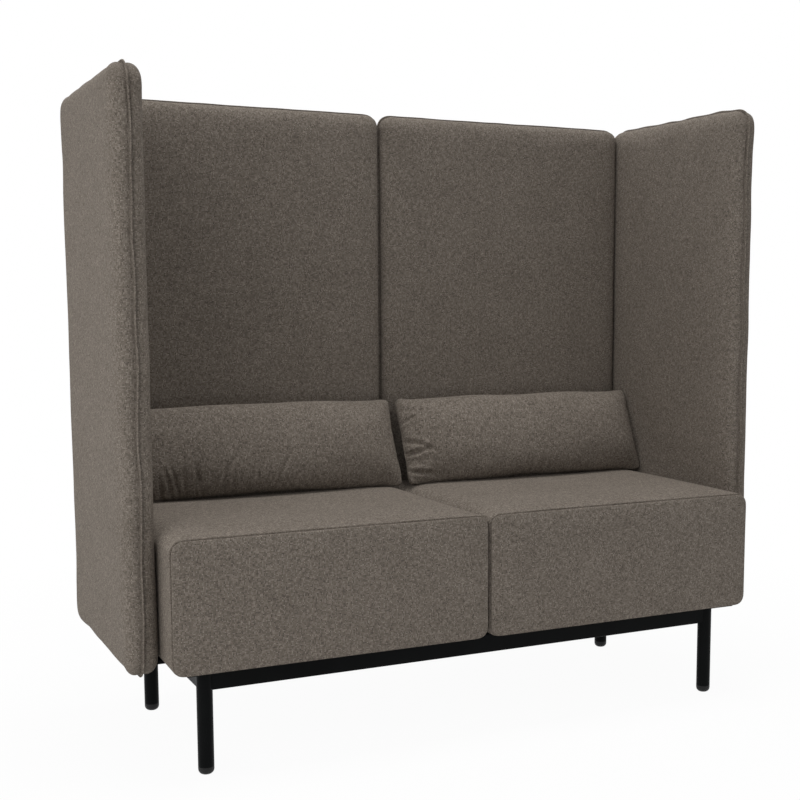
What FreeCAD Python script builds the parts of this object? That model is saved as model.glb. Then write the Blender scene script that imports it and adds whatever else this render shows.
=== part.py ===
import FreeCAD
import Part
import math
import os

import Sketcher
from FreeCAD import Placement, Rotation, Vector

# Two-seat high-back sofa, in millimetres. +X is the sitter's left to right seen from the front,
# +Y is the back, +Z is up, and the origin is on the floor under the middle of the sofa.

# Driving sizes
SIZES = {
    # tube frame
    "frame_top": 200.0,
    "leg_diameter": 30.0,
    "leg_wall": 2.0,
    "leg_side_inset": 71.0,
    "leg_front_inset": 56.0,
    "leg_rear_inset": 52.0,
    "glide_height": 15.0,
    "glide_round": 10.0,
    "glide_plug_length": 20.0,
    "cap_thickness": 2.0,
    "cap_plug_length": 10.0,
    "plug_clearance": 0.2,
    "rail_height": 40.0,
    "rail_width": 20.0,
    "rail_wall": 2.0,
    "rail_corner": 3.0,
    "weld_gap": 0.2,
    # seats
    "seat_width": 638.0,
    "seat_gap": 6.0,
    "seat_depth": 532.0,
    "seat_top": 460.0,
    "seat_crown": 8.0,
    "seat_corner": 24.0,
    "seat_edge_round": 8.0,
    "seat_cover": 8.0,
    "seat_lip": 2.0,
    "seat_lip_width": 30.0,
    "base_cloth": 1.0,
    "base_cloth_inset": 4.0,
    "foam_clearance": 0.3,
    "foam_wrap": 16.0,
    "seat_board": 16.0,
    "seat_board_height": 68.0,
    "bolt_board_width": 54.0,
    "strap_width": 60.0,
    "strap_thickness": 2.0,
    "strap_margin": 23.0,
    "strap_count": 6.0,
    "bolt_diameter": 8.0,
    "bolt_head_diameter": 13.0,
    "bolt_head_height": 5.0,
    "bolt_end": 6.0,
    "bolt_spacing": 360.0,
    "bolt_hole_clearance": 0.5,
    "tee_barrel_wall": 1.2,
    "tee_barrel_length": 12.0,
    "tee_flange_diameter": 22.0,
    "tee_flange_thickness": 1.5,
    # upright panels
    "panel_gap": 3.0,
    "panel_setback": 75.0,
    "panel_lift": -14.0,
    "panel_thickness": 60.0,
    "panel_height": 1106.0,
    "panel_corner": 38.0,
    "panel_flange": 5.0,
    "back_clearance": 2.0,
    "back_thickness": 60.0,
    "back_corner": 30.0,
    "back_flange": 3.0,
    "back_gap": 6.6,
    "back_side_gap": 3.8,
    "panel_edge_round": 22.0,
    "panel_cover": 6.0,
    "flange_layer": 1.5,
    "core_thickness": 18.0,
    "core_clearance": 0.3,
    "panel_foam_clearance": 1.0,
    "arm_width": 40.0,
    "arm_thickness": 8.0,
    "arm_bend": 8.0,
    "arm_drop": 33.0,
    "arm_rise": 350.0,
    "arm_clearance": 0.5,
    "panel_arm_spacing": 150.0,
    "back_arm_spacing": 360.0,
    "screw_diameter": 6.0,
    "screw_head_diameter": 11.0,
    "screw_head_height": 3.0,
    "screw_bite": 14.0,
    "screw_low": 120.0,
    "screw_high": 300.0,
    # loose pillows
    "pillow_inset": 9.0,
    "pillow_height": 198.0,
    "pillow_waist": 192.0,
    "pillow_thickness": 124.0,
    "pillow_end_thickness": 22.0,
    "pillow_seam": 6.0,
    "pillow_cover": 4.0,
    "pillow_lean": 25.0,
    "pillow_shift": 7.0,
    "pillow_clearance": 0.5,
}

# How close an edge or face has to lie to a place to count as being there
NEAR = 0.01


class Dim:
    """A size that holds both its number and the expression over the sheet that gives it."""

    def __init__(self, value, text):
        self.value = value
        self.text = text

    def __add__(self, other):
        other = as_dim(other)
        return Dim(self.value + other.value, f"({self.text} + {other.text})")

    def __sub__(self, other):
        other = as_dim(other)
        return Dim(self.value - other.value, f"({self.text} - {other.text})")

    def __mul__(self, other):
        other = as_dim(other)
        return Dim(self.value * other.value, f"({self.text} * {other.text})")

    def __truediv__(self, other):
        other = as_dim(other)
        return Dim(self.value / other.value, f"({self.text} / {other.text})")

    def __neg__(self):
        return Dim(-self.value, f"(0 - {self.text})")


def as_dim(item):
    """Give a plain number the same form as a size."""
    if isinstance(item, Dim):
        return item
    return Dim(float(item), repr(float(item)))


def cosine(angle):
    """Cosine of an angle in degrees."""
    return Dim(math.cos(math.radians(angle.value)), f"cos({angle.text} * 1 deg)")


def sine(angle):
    """Sine of an angle in degrees."""
    return Dim(math.sin(math.radians(angle.value)), f"sin({angle.text} * 1 deg)")


class SizeSheet:
    """The document's sheet of driving sizes; each size is an attribute."""

    def __init__(self, document, sizes):
        sheet = document.addObject("Spreadsheet::Sheet", "Sizes")
        for row, (name, value) in enumerate(sizes.items(), start=1):
            sheet.set(f"A{row}", name.replace("_", " "))
            sheet.set(f"B{row}", str(value))
            sheet.setAlias(f"B{row}", name)
            setattr(self, name, Dim(value, f"Sizes.{name}"))


doc = FreeCAD.newDocument("HighBackSofa")
size = SizeSheet(doc, SIZES)
doc.recompute()
sub_parts = []

# Places that several pieces share
seat_outer = size.seat_width + size.seat_gap / 2
seat_centre = (size.seat_width + size.seat_gap) / 2
total_depth = size.seat_depth + size.back_clearance + size.back_thickness
seat_front = -(total_depth / 2)
seat_rear = seat_front + size.seat_depth
seat_middle = seat_front + size.seat_depth / 2
back_front = seat_rear + size.back_clearance
back_middle = back_front + size.back_thickness / 2
leg_x = seat_outer - size.leg_side_inset
leg_front = seat_front + size.leg_front_inset
leg_rear = seat_rear - size.leg_rear_inset
panel_inner = seat_outer + size.panel_gap
panel_middle = panel_inner + size.panel_thickness / 2
panel_front = seat_front + size.panel_setback
panel_rear = total_depth / 2 - size.panel_flange
panel_depth = panel_rear - panel_front
panel_bottom = size.frame_top + size.panel_lift
back_inner = size.back_gap / 2
back_outer = panel_inner - size.back_side_gap
back_width = back_outer - back_inner
pillow_width = size.seat_width - size.pillow_inset * 2


# Small modelling steps
def bind(thing, path, dim):
    """Drive one property of an object by a size."""
    thing.setExpression(path, as_dim(dim).text)


def new_body(label):
    """Start a sub-part; its label names its file."""
    body = doc.addObject("PartDesign::Body", label)
    body.Label = label
    sub_parts.append(body)
    return body


def place(body, x=0, y=0, z=0, turn=0.0):
    """Put a sub-part at its place, turned about the vertical."""
    spot = [as_dim(item) for item in (x, y, z)]
    body.Placement = Placement(Vector(*[dim.value for dim in spot]), Rotation(Vector(0, 0, 1), turn))
    for axis, dim in zip("xyz", spot):
        bind(body, f"Placement.Base.{axis}", dim)


def origin_feature(body, role):
    """Find one of the body's own origin planes or axes."""
    return next(item for item in body.Origin.OriginFeatures if item.Role == role)


def sketch_on(body, role, x=0, y=0, z=0):
    """Attach a sketch to an origin plane, moved within the plane (x, y) and off it (z)."""
    sketch = body.newObject("Sketcher::SketchObject", "Sketch")
    sketch.AttachmentSupport = (origin_feature(body, role), [""])
    sketch.MapMode = "FlatFace"
    spot = [as_dim(item) for item in (x, y, z)]
    sketch.AttachmentOffset = Placement(Vector(*[dim.value for dim in spot]), Rotation())
    for axis, dim in zip("xyz", spot):
        bind(sketch, f"AttachmentOffset.Base.{axis}", dim)
    return sketch


def limit(sketch, kind, places, dim):
    """Add a dimension to a sketch, driven by a size."""
    dim = as_dim(dim)
    index = sketch.addConstraint(Sketcher.Constraint(kind, *places, dim.value))
    sketch.setExpression(f"Constraints[{index}]", dim.text)


def locate(sketch, geometry, point, x, y):
    """Hold a point of a sketch at a distance from the sketch's origin."""
    for kind, axis, dim in (("DistanceX", -2, as_dim(x)), ("DistanceY", -1, as_dim(y))):
        if dim.value == 0:
            sketch.addConstraint(Sketcher.Constraint("PointOnObject", geometry, point, axis))
        elif dim.value > 0:
            limit(sketch, kind, (-1, 1, geometry, point), dim)
        else:
            limit(sketch, kind, (geometry, point, -1, 1), -dim)


def draw_circles(sketch, diameter, centres):
    """Draw equal circles at the given centres."""
    for x, y in centres:
        centre = Vector(as_dim(x).value, as_dim(y).value, 0)
        index = sketch.addGeometry(Part.Circle(centre, Vector(0, 0, 1), diameter.value / 2))
        limit(sketch, "Diameter", (index,), diameter)
        locate(sketch, index, 3, x, y)


def draw_outline(sketch, points):
    """Draw a closed outline of straight lines through the given points."""
    corners = [Vector(as_dim(x).value, as_dim(y).value, 0) for x, y in points]
    lines = []
    for start, end in zip(corners, corners[1:] + corners[:1]):
        lines.append(sketch.addGeometry(Part.LineSegment(start, end)))
    for line, following in zip(lines, lines[1:] + lines[:1]):
        sketch.addConstraint(Sketcher.Constraint("Coincident", line, 2, following, 1))
    for line, (x, y) in zip(lines, points):
        locate(sketch, line, 1, x, y)


def draw_rectangle(sketch, width, height, x=0, y=0):
    """Draw a rectangle with its middle at (x, y)."""
    left, right = as_dim(x) - width / 2, as_dim(x) + width / 2
    low, high = as_dim(y) - height / 2, as_dim(y) + height / 2
    draw_outline(sketch, [(left, low), (right, low), (right, high), (left, high)])


def corner_arc(centre, radius, start_degrees, end_degrees):
    """A circular arc, counter-clockwise between two directions."""
    circle = Part.Circle(centre, Vector(0, 0, 1), radius)
    return Part.ArcOfCircle(circle, math.radians(start_degrees), math.radians(end_degrees))


def join_smoothly(sketch, chain):
    """Join a closed chain of lines and arcs end to start, tangent at each joint."""
    for edge, following in zip(chain, chain[1:] + chain[:1]):
        sketch.addConstraint(Sketcher.Constraint("Tangent", edge, 2, following, 1))


def draw_rounded_rectangle(sketch, width, height, radius):
    """Draw a rectangle with round corners about the sketch's origin."""
    reach, rise, bend = width.value / 2, height.value / 2, radius.value
    inner, upper = reach - bend, rise - bend
    edges = [
        Part.LineSegment(Vector(-inner, -rise, 0), Vector(inner, -rise, 0)),
        corner_arc(Vector(inner, -upper, 0), bend, 270, 360),
        Part.LineSegment(Vector(reach, -upper, 0), Vector(reach, upper, 0)),
        corner_arc(Vector(inner, upper, 0), bend, 0, 90),
        Part.LineSegment(Vector(inner, rise, 0), Vector(-inner, rise, 0)),
        corner_arc(Vector(-inner, upper, 0), bend, 90, 180),
        Part.LineSegment(Vector(-reach, upper, 0), Vector(-reach, -upper, 0)),
        corner_arc(Vector(-inner, -upper, 0), bend, 180, 270),
    ]
    chain = [sketch.addGeometry(edge) for edge in edges]
    join_smoothly(sketch, chain)
    bottom, first, right, second, top, third, left, fourth = chain
    for line in (bottom, top):
        sketch.addConstraint(Sketcher.Constraint("Horizontal", line))
    for line in (right, left):
        sketch.addConstraint(Sketcher.Constraint("Vertical", line))
    for arc in (second, third, fourth):
        sketch.addConstraint(Sketcher.Constraint("Equal", first, arc))
    limit(sketch, "Radius", (first,), radius)
    locate(sketch, fourth, 3, radius - width / 2, radius - height / 2)
    limit(sketch, "DistanceX", (fourth, 3, first, 3), width - radius * 2)
    limit(sketch, "DistanceY", (first, 3, second, 3), height - radius * 2)


def draw_crowned_section(sketch, width, bottom, apex, radius, crown):
    """Draw a cushion's section: flat bottom and sides, round corners, a top that rises to its apex."""
    top_radius = (width * width / 4 + crown * crown) / (crown * 2)
    reach, low, bend, sweep = width.value / 2, bottom.value, radius.value, top_radius.value
    inner = reach - bend
    hub = apex.value - sweep
    shoulder = hub + math.sqrt((sweep - bend) ** 2 - inner ** 2)
    tilt = math.degrees(math.atan2(shoulder - hub, inner))
    edges = [
        Part.LineSegment(Vector(-inner, low, 0), Vector(inner, low, 0)),
        corner_arc(Vector(inner, low + bend, 0), bend, 270, 360),
        Part.LineSegment(Vector(reach, low + bend, 0), Vector(reach, shoulder, 0)),
        corner_arc(Vector(inner, shoulder, 0), bend, 0, tilt),
        corner_arc(Vector(0, hub, 0), sweep, tilt, 180 - tilt),
        corner_arc(Vector(-inner, shoulder, 0), bend, 180 - tilt, 180),
        Part.LineSegment(Vector(-reach, shoulder, 0), Vector(-reach, low + bend, 0)),
        corner_arc(Vector(-inner, low + bend, 0), bend, 180, 270),
    ]
    chain = [sketch.addGeometry(edge) for edge in edges]
    join_smoothly(sketch, chain)
    base, first, right, second, top, third, left, fourth = chain
    sketch.addConstraint(Sketcher.Constraint("Horizontal", base))
    sketch.addConstraint(Sketcher.Constraint("Vertical", right))
    sketch.addConstraint(Sketcher.Constraint("Vertical", left))
    for arc in (second, third, fourth):
        sketch.addConstraint(Sketcher.Constraint("Equal", first, arc))
    limit(sketch, "Radius", (first,), radius)
    limit(sketch, "Radius", (top,), top_radius)
    locate(sketch, top, 3, 0, apex - top_radius)
    locate(sketch, fourth, 3, radius - width / 2, bottom + radius)
    limit(sketch, "DistanceX", (fourth, 3, first, 3), width - radius * 2)


def draw_lens_section(sketch, height, thickness, seam):
    """Draw a pillow's section: two arcs that meet in a narrow seam at the top and the bottom."""
    half, edge = height.value / 2, seam.value / 2
    bulge = thickness / 2 - seam / 2
    radius = (height * height / 4 + bulge * bulge) / (bulge * 2)
    lean = math.degrees(math.asin(half / radius.value))
    hub = thickness.value / 2 - radius.value
    edges = [
        corner_arc(Vector(hub, 0, 0), radius.value, -lean, lean),
        Part.LineSegment(Vector(edge, half, 0), Vector(-edge, half, 0)),
        corner_arc(Vector(-hub, 0, 0), radius.value, 180 - lean, 180 + lean),
        Part.LineSegment(Vector(-edge, -half, 0), Vector(edge, -half, 0)),
    ]
    chain = [sketch.addGeometry(item) for item in edges]
    for item, following in zip(chain, chain[1:] + chain[:1]):
        sketch.addConstraint(Sketcher.Constraint("Coincident", item, 2, following, 1))
    front, top, rear, bottom = chain
    locate(sketch, top, 1, seam / 2, height / 2)
    locate(sketch, top, 2, -(seam / 2), height / 2)
    locate(sketch, bottom, 1, -(seam / 2), -(height / 2))
    locate(sketch, bottom, 2, seam / 2, -(height / 2))
    limit(sketch, "Radius", (front,), radius)
    limit(sketch, "Radius", (rear,), radius)


def pad(body, sketch, length, backwards=False, both_ways=False):
    """Extrude a sketch by a length, along its normal or against it, or half each way."""
    feature = body.newObject("PartDesign::Pad", "Pad")
    feature.Profile = sketch
    feature.SideType = "Symmetric" if both_ways else "One side"
    feature.Reversed = backwards
    bind(feature, "Length", length)
    doc.recompute()
    return feature


def cut(body, sketch, length=None, backwards=False):
    """Cut a sketch into the body by a length, or right through it both ways; it has to remove material."""
    before = body.Shape.Volume
    feature = body.newObject("PartDesign::Pocket", "Pocket")
    feature.Profile = sketch
    feature.Reversed = backwards
    if length is None:
        feature.Type = "ThroughAll"
        feature.SideType = "Symmetric"
    else:
        bind(feature, "Length", length)
    doc.recompute()
    if feature.Shape.isNull() or not feature.Shape.Volume < before:
        raise RuntimeError(f"a cut in {body.Label} removes nothing")
    return feature


def loft(body, sketches, kind="PartDesign::AdditiveLoft"):
    """Run a solid, added or taken away, straight from each section to the next."""
    feature = body.newObject(kind, "Loft")
    feature.Ruled = True
    feature.Profile = sketches[0]
    feature.Sections = sketches[1:]
    doc.recompute()
    return feature


def round_edges(body, feature, radius, chosen):
    """Round the edges of a feature that the test picks."""
    names = [f"Edge{n}" for n, edge in enumerate(feature.Shape.Edges, start=1) if chosen(edge)]
    rounded = body.newObject("PartDesign::Fillet", "Fillet")
    rounded.Base = (feature, names)
    bind(rounded, "Radius", radius)
    doc.recompute()
    return rounded


def repeat(body, feature, axis, extent, count):
    """Repeat a feature along an axis of the body; the copies stay separate solids."""
    pattern = body.newObject("PartDesign::LinearPattern", "Pattern")
    pattern.Originals = [feature]
    pattern.Direction = (origin_feature(body, axis), [""])
    pattern.Mode = "Extent"
    bind(pattern, "Length", extent)
    bind(pattern, "Occurrences", count)
    body.Tip = pattern
    doc.recompute()
    return pattern


def edge_lies_at(axis, place_value):
    """Test that an edge lies in the plane where an axis has the given value."""
    def chosen(edge):
        low = getattr(edge.BoundBox, f"{axis}Min")
        high = getattr(edge.BoundBox, f"{axis}Max")
        return abs(low - place_value) < NEAR and abs(high - place_value) < NEAR
    return chosen


# Tube frame
def add_leg(label, x, y):
    """A round tube from its glide up to the cap under the seat."""
    body = new_body(label)
    sketch = sketch_on(body, "XY_Plane", z=size.glide_height)
    draw_circles(sketch, size.leg_diameter, [(0, 0)])
    draw_circles(sketch, size.leg_diameter - size.leg_wall * 2, [(0, 0)])
    pad(body, sketch, size.frame_top - size.cap_thickness - size.glide_height)
    place(body, x, y)


def plug_diameter():
    """Diameter of a plug that slides into a leg tube."""
    return size.leg_diameter - size.leg_wall * 2 - size.plug_clearance * 2


def add_leg_glides(centres):
    """Domed floor glides, each with a small flat and a plug into its leg."""
    body = new_body("leg_glides")
    sketch = sketch_on(body, "XY_Plane")
    draw_circles(sketch, size.leg_diameter, centres)
    feet = pad(body, sketch, size.glide_height)
    round_edges(body, feet, size.glide_round, edge_lies_at("Z", 0))
    sketch = sketch_on(body, "XY_Plane", z=size.glide_height)
    draw_circles(sketch, plug_diameter(), centres)
    pad(body, sketch, size.glide_plug_length)
    place(body)


def add_leg_caps(centres):
    """Flat plugs that close the tops of the four legs."""
    body = new_body("leg_caps")
    level = size.frame_top - size.cap_thickness
    sketch = sketch_on(body, "XY_Plane", z=level)
    draw_circles(sketch, size.leg_diameter, centres)
    pad(body, sketch, size.cap_thickness)
    sketch = sketch_on(body, "XY_Plane", z=level)
    draw_circles(sketch, plug_diameter(), centres)
    pad(body, sketch, size.cap_plug_length, backwards=True)
    place(body)


def add_rail(label, plane, length, x=0, y=0, copes=(), holes=()):
    """A flat rectangular tube, hollowed to the legs at its ends and drilled for the seat bolts."""
    body = new_body(label)
    middle = size.frame_top - size.rail_height / 2
    sketch = sketch_on(body, plane, y=middle)
    draw_rounded_rectangle(sketch, size.rail_width, size.rail_height, size.rail_corner)
    draw_rounded_rectangle(
        sketch,
        size.rail_width - size.rail_wall * 2,
        size.rail_height - size.rail_wall * 2,
        size.rail_corner - size.rail_wall,
    )
    pad(body, sketch, length, both_ways=True)
    if copes:
        sketch = sketch_on(body, "XY_Plane")
        draw_circles(sketch, size.leg_diameter + size.weld_gap * 2, copes)
        cut(body, sketch)
    if holes:
        sketch = sketch_on(body, "XY_Plane", z=size.frame_top)
        draw_circles(sketch, bolt_hole(), holes)
        cut(body, sketch, size.rail_height / 2)
        sketch = sketch_on(body, "XY_Plane", z=size.frame_top - size.rail_height)
        draw_circles(sketch, access_hole(), holes)
        cut(body, sketch, size.rail_height / 2, backwards=True)
    place(body, x, y)


def bolt_hole():
    """Diameter of the holes that the seat bolts pass through."""
    return size.bolt_diameter + size.bolt_hole_clearance * 2


def access_hole():
    """Diameter of the holes under a rail that let the bolt heads in."""
    return size.bolt_head_diameter + size.bolt_hole_clearance * 2


def bolt_columns():
    """The seat bolts' places along the rails."""
    half = size.bolt_spacing / 2
    return [-(seat_centre + half), half - seat_centre, seat_centre - half, seat_centre + half]


def add_frame():
    """Four legs with glides and caps, and the five rails between them."""
    corners = [
        ("front", "left", -leg_x, leg_front),
        ("front", "right", leg_x, leg_front),
        ("rear", "left", -leg_x, leg_rear),
        ("rear", "right", leg_x, leg_rear),
    ]
    for end, side, x, y in corners:
        add_leg(f"{end}_leg_{side}", x, y)
    centres = [(x, y) for _, _, x, y in corners]
    add_leg_glides(centres)
    add_leg_caps(centres)
    drilled = [(x, 0) for x in bolt_columns()]
    ends = [(-leg_x, 0), (leg_x, 0)]
    add_rail("front_rail", "YZ_Plane", leg_x * 2, y=leg_front, copes=ends, holes=drilled)
    add_rail("rear_rail", "YZ_Plane", leg_x * 2, y=leg_rear, copes=ends, holes=drilled)
    span = leg_rear - leg_front
    halfway = (leg_rear + leg_front) / 2
    ends = [(0, -(span / 2)), (0, span / 2)]
    add_rail("left_rail", "XZ_Plane", span, x=-leg_x, y=halfway, copes=ends)
    add_rail("right_rail", "XZ_Plane", span, x=leg_x, y=halfway, copes=ends)
    add_rail("centre_rail", "XZ_Plane", span - size.rail_width, y=halfway)


# Seats
cover_bottom = size.frame_top + size.base_cloth
board_bottom = cover_bottom + size.seat_lip
board_top = board_bottom + size.seat_board_height
strap_top = board_top + size.strap_thickness
cavity_width = size.seat_width - size.seat_cover * 2
cavity_depth = size.seat_depth - size.seat_cover * 2
cavity_top = size.seat_top - size.seat_crown - size.seat_cover
cavity_corner = size.seat_corner - size.seat_cover
frame_wrap = size.seat_cover + size.foam_wrap + size.foam_clearance * 2
seat_frame_width = size.seat_width - frame_wrap * 2
seat_frame_depth = size.seat_depth - frame_wrap * 2


def place_seat(body, side):
    """Put a seat piece on the left or the right, midway along the seat's depth."""
    place(body, seat_centre * side, seat_middle)


def seat_bolt_points():
    """The bolts' places seen from the middle of one seat."""
    half = size.bolt_spacing / 2
    rows = (leg_front - seat_middle, leg_rear - seat_middle)
    return [(x, y) for y in rows for x in (-half, half)]


def add_seat_cover(label, side):
    """The sewn cover with its wadding: crowned top, round corners, turned under at the bottom."""
    body = new_body(label)
    crowned = (cover_bottom, size.seat_top)
    sketch = sketch_on(body, "XZ_Plane")
    draw_crowned_section(sketch, size.seat_width, *crowned, size.seat_corner, size.seat_crown)
    pad(body, sketch, size.seat_depth, both_ways=True)
    sketch = sketch_on(body, "YZ_Plane")
    draw_crowned_section(sketch, size.seat_depth, *crowned, size.seat_edge_round, size.seat_crown)
    trim_outside(body, sketch)
    sketch = sketch_on(body, "XY_Plane")
    draw_rounded_rectangle(sketch, size.seat_width, size.seat_depth, size.seat_edge_round)
    trim_outside(body, sketch)
    sketch = sketch_on(body, "XZ_Plane", y=(cavity_top + board_bottom) / 2, z=cavity_depth / 2)
    draw_rounded_rectangle(sketch, cavity_width, cavity_top - board_bottom, cavity_corner)
    cut(body, sketch, cavity_depth)
    sketch = sketch_on(body, "XY_Plane", z=board_bottom)
    opening_width = cavity_width - size.seat_lip_width * 2
    opening_depth = cavity_depth - size.seat_lip_width * 2
    draw_rectangle(sketch, opening_width, opening_depth)
    cut(body, sketch, size.seat_lip)
    place_seat(body, side)


def trim_outside(body, sketch):
    """Cut away what lies outside the outline in a sketch."""
    margin = (size.seat_width + size.seat_depth + size.seat_top) * 2
    draw_rectangle(sketch, margin, margin)
    cut(body, sketch)


def add_seat_foam(label, side):
    """The foam block, which wraps down over the timber frame."""
    body = new_body(label)
    gap = size.foam_clearance
    high = cavity_top - gap
    depth = cavity_depth - gap * 2
    sketch = sketch_on(body, "XZ_Plane", y=(high + board_bottom) / 2)
    draw_rounded_rectangle(sketch, cavity_width - gap * 2, high - board_bottom, cavity_corner - gap)
    pad(body, sketch, depth, both_ways=True)
    sketch = sketch_on(body, "XY_Plane", z=strap_top)
    draw_rectangle(sketch, seat_frame_width + gap * 2, seat_frame_depth + gap * 2)
    cut(body, sketch, strap_top - board_bottom)
    place_seat(body, side)


def add_seat_frame(label, side):
    """A timber ring with two flat boards over the rails that take the bolts."""
    body = new_body(label)
    sketch = sketch_on(body, "XY_Plane", z=board_bottom)
    draw_rectangle(sketch, seat_frame_width, seat_frame_depth)
    inner_width = seat_frame_width - size.seat_board * 2
    inner_depth = seat_frame_depth - size.seat_board * 2
    draw_rectangle(sketch, inner_width, inner_depth)
    pad(body, sketch, size.seat_board_height)
    for row in (leg_front - seat_middle, leg_rear - seat_middle):
        sketch = sketch_on(body, "XY_Plane", z=board_bottom)
        draw_rectangle(sketch, inner_width, size.bolt_board_width, y=row)
        pad(body, sketch, size.seat_board)
    sketch = sketch_on(body, "XY_Plane", z=board_bottom)
    draw_circles(sketch, tee_barrel() + size.plug_clearance * 2, seat_bolt_points())
    cut(body, sketch)
    place_seat(body, side)


def add_seat_webbing(label, side):
    """Elastic straps from the front board to the rear board."""
    body = new_body(label)
    span = seat_frame_width - size.strap_width - size.strap_margin * 2
    sketch = sketch_on(body, "XY_Plane", x=-(span / 2), z=board_top)
    draw_rectangle(sketch, size.strap_width, seat_frame_depth)
    strap = pad(body, sketch, size.strap_thickness)
    repeat(body, strap, "X_Axis", span, size.strap_count)
    place_seat(body, side)


def add_base_cloth(label, side):
    """The thin cloth that closes the underside of a seat."""
    body = new_body(label)
    sketch = sketch_on(body, "XY_Plane", z=size.frame_top)
    width = size.seat_width - (size.seat_corner + size.base_cloth_inset) * 2
    depth = size.seat_depth - (size.seat_edge_round + size.base_cloth_inset) * 2
    draw_rectangle(sketch, width, depth)
    draw_circles(sketch, bolt_hole(), seat_bolt_points())
    pad(body, sketch, size.base_cloth)
    place_seat(body, side)


def tee_barrel():
    """Outer diameter of a tee nut's barrel."""
    return bolt_hole() + size.tee_barrel_wall * 2


def add_seat_fasteners():
    """Bolts with their heads inside the rails, and the tee nuts in the seat frames that take them."""
    rows = (leg_front, leg_rear)
    points = [(x, y) for y in rows for x in bolt_columns()]
    head_level = size.frame_top - size.rail_wall
    nut_level = board_bottom + size.seat_board
    body = new_body("seat_bolts")
    sketch = sketch_on(body, "XY_Plane", z=head_level)
    draw_circles(sketch, size.bolt_head_diameter, points)
    pad(body, sketch, size.bolt_head_height, backwards=True)
    sketch = sketch_on(body, "XY_Plane", z=head_level)
    draw_circles(sketch, size.bolt_diameter, points)
    pad(body, sketch, nut_level + size.bolt_end - head_level)
    place(body)
    body = new_body("seat_tee_nuts")
    sketch = sketch_on(body, "XY_Plane", z=nut_level)
    draw_circles(sketch, size.tee_flange_diameter, points)
    draw_circles(sketch, bolt_hole(), points)
    pad(body, sketch, size.tee_flange_thickness)
    sketch = sketch_on(body, "XY_Plane", z=nut_level)
    draw_circles(sketch, tee_barrel(), points)
    draw_circles(sketch, bolt_hole(), points)
    pad(body, sketch, size.tee_barrel_length, backwards=True)
    place(body)


def add_seat(name, side):
    """One seat: cover, foam, webbing, timber frame and base cloth."""
    add_seat_cover(f"{name}_seat_cover", side)
    add_seat_foam(f"{name}_seat_foam", side)
    add_seat_frame(f"{name}_seat_frame", side)
    add_seat_webbing(f"{name}_seat_webbing", side)
    add_base_cloth(f"{name}_seat_base_cloth", side)


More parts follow.
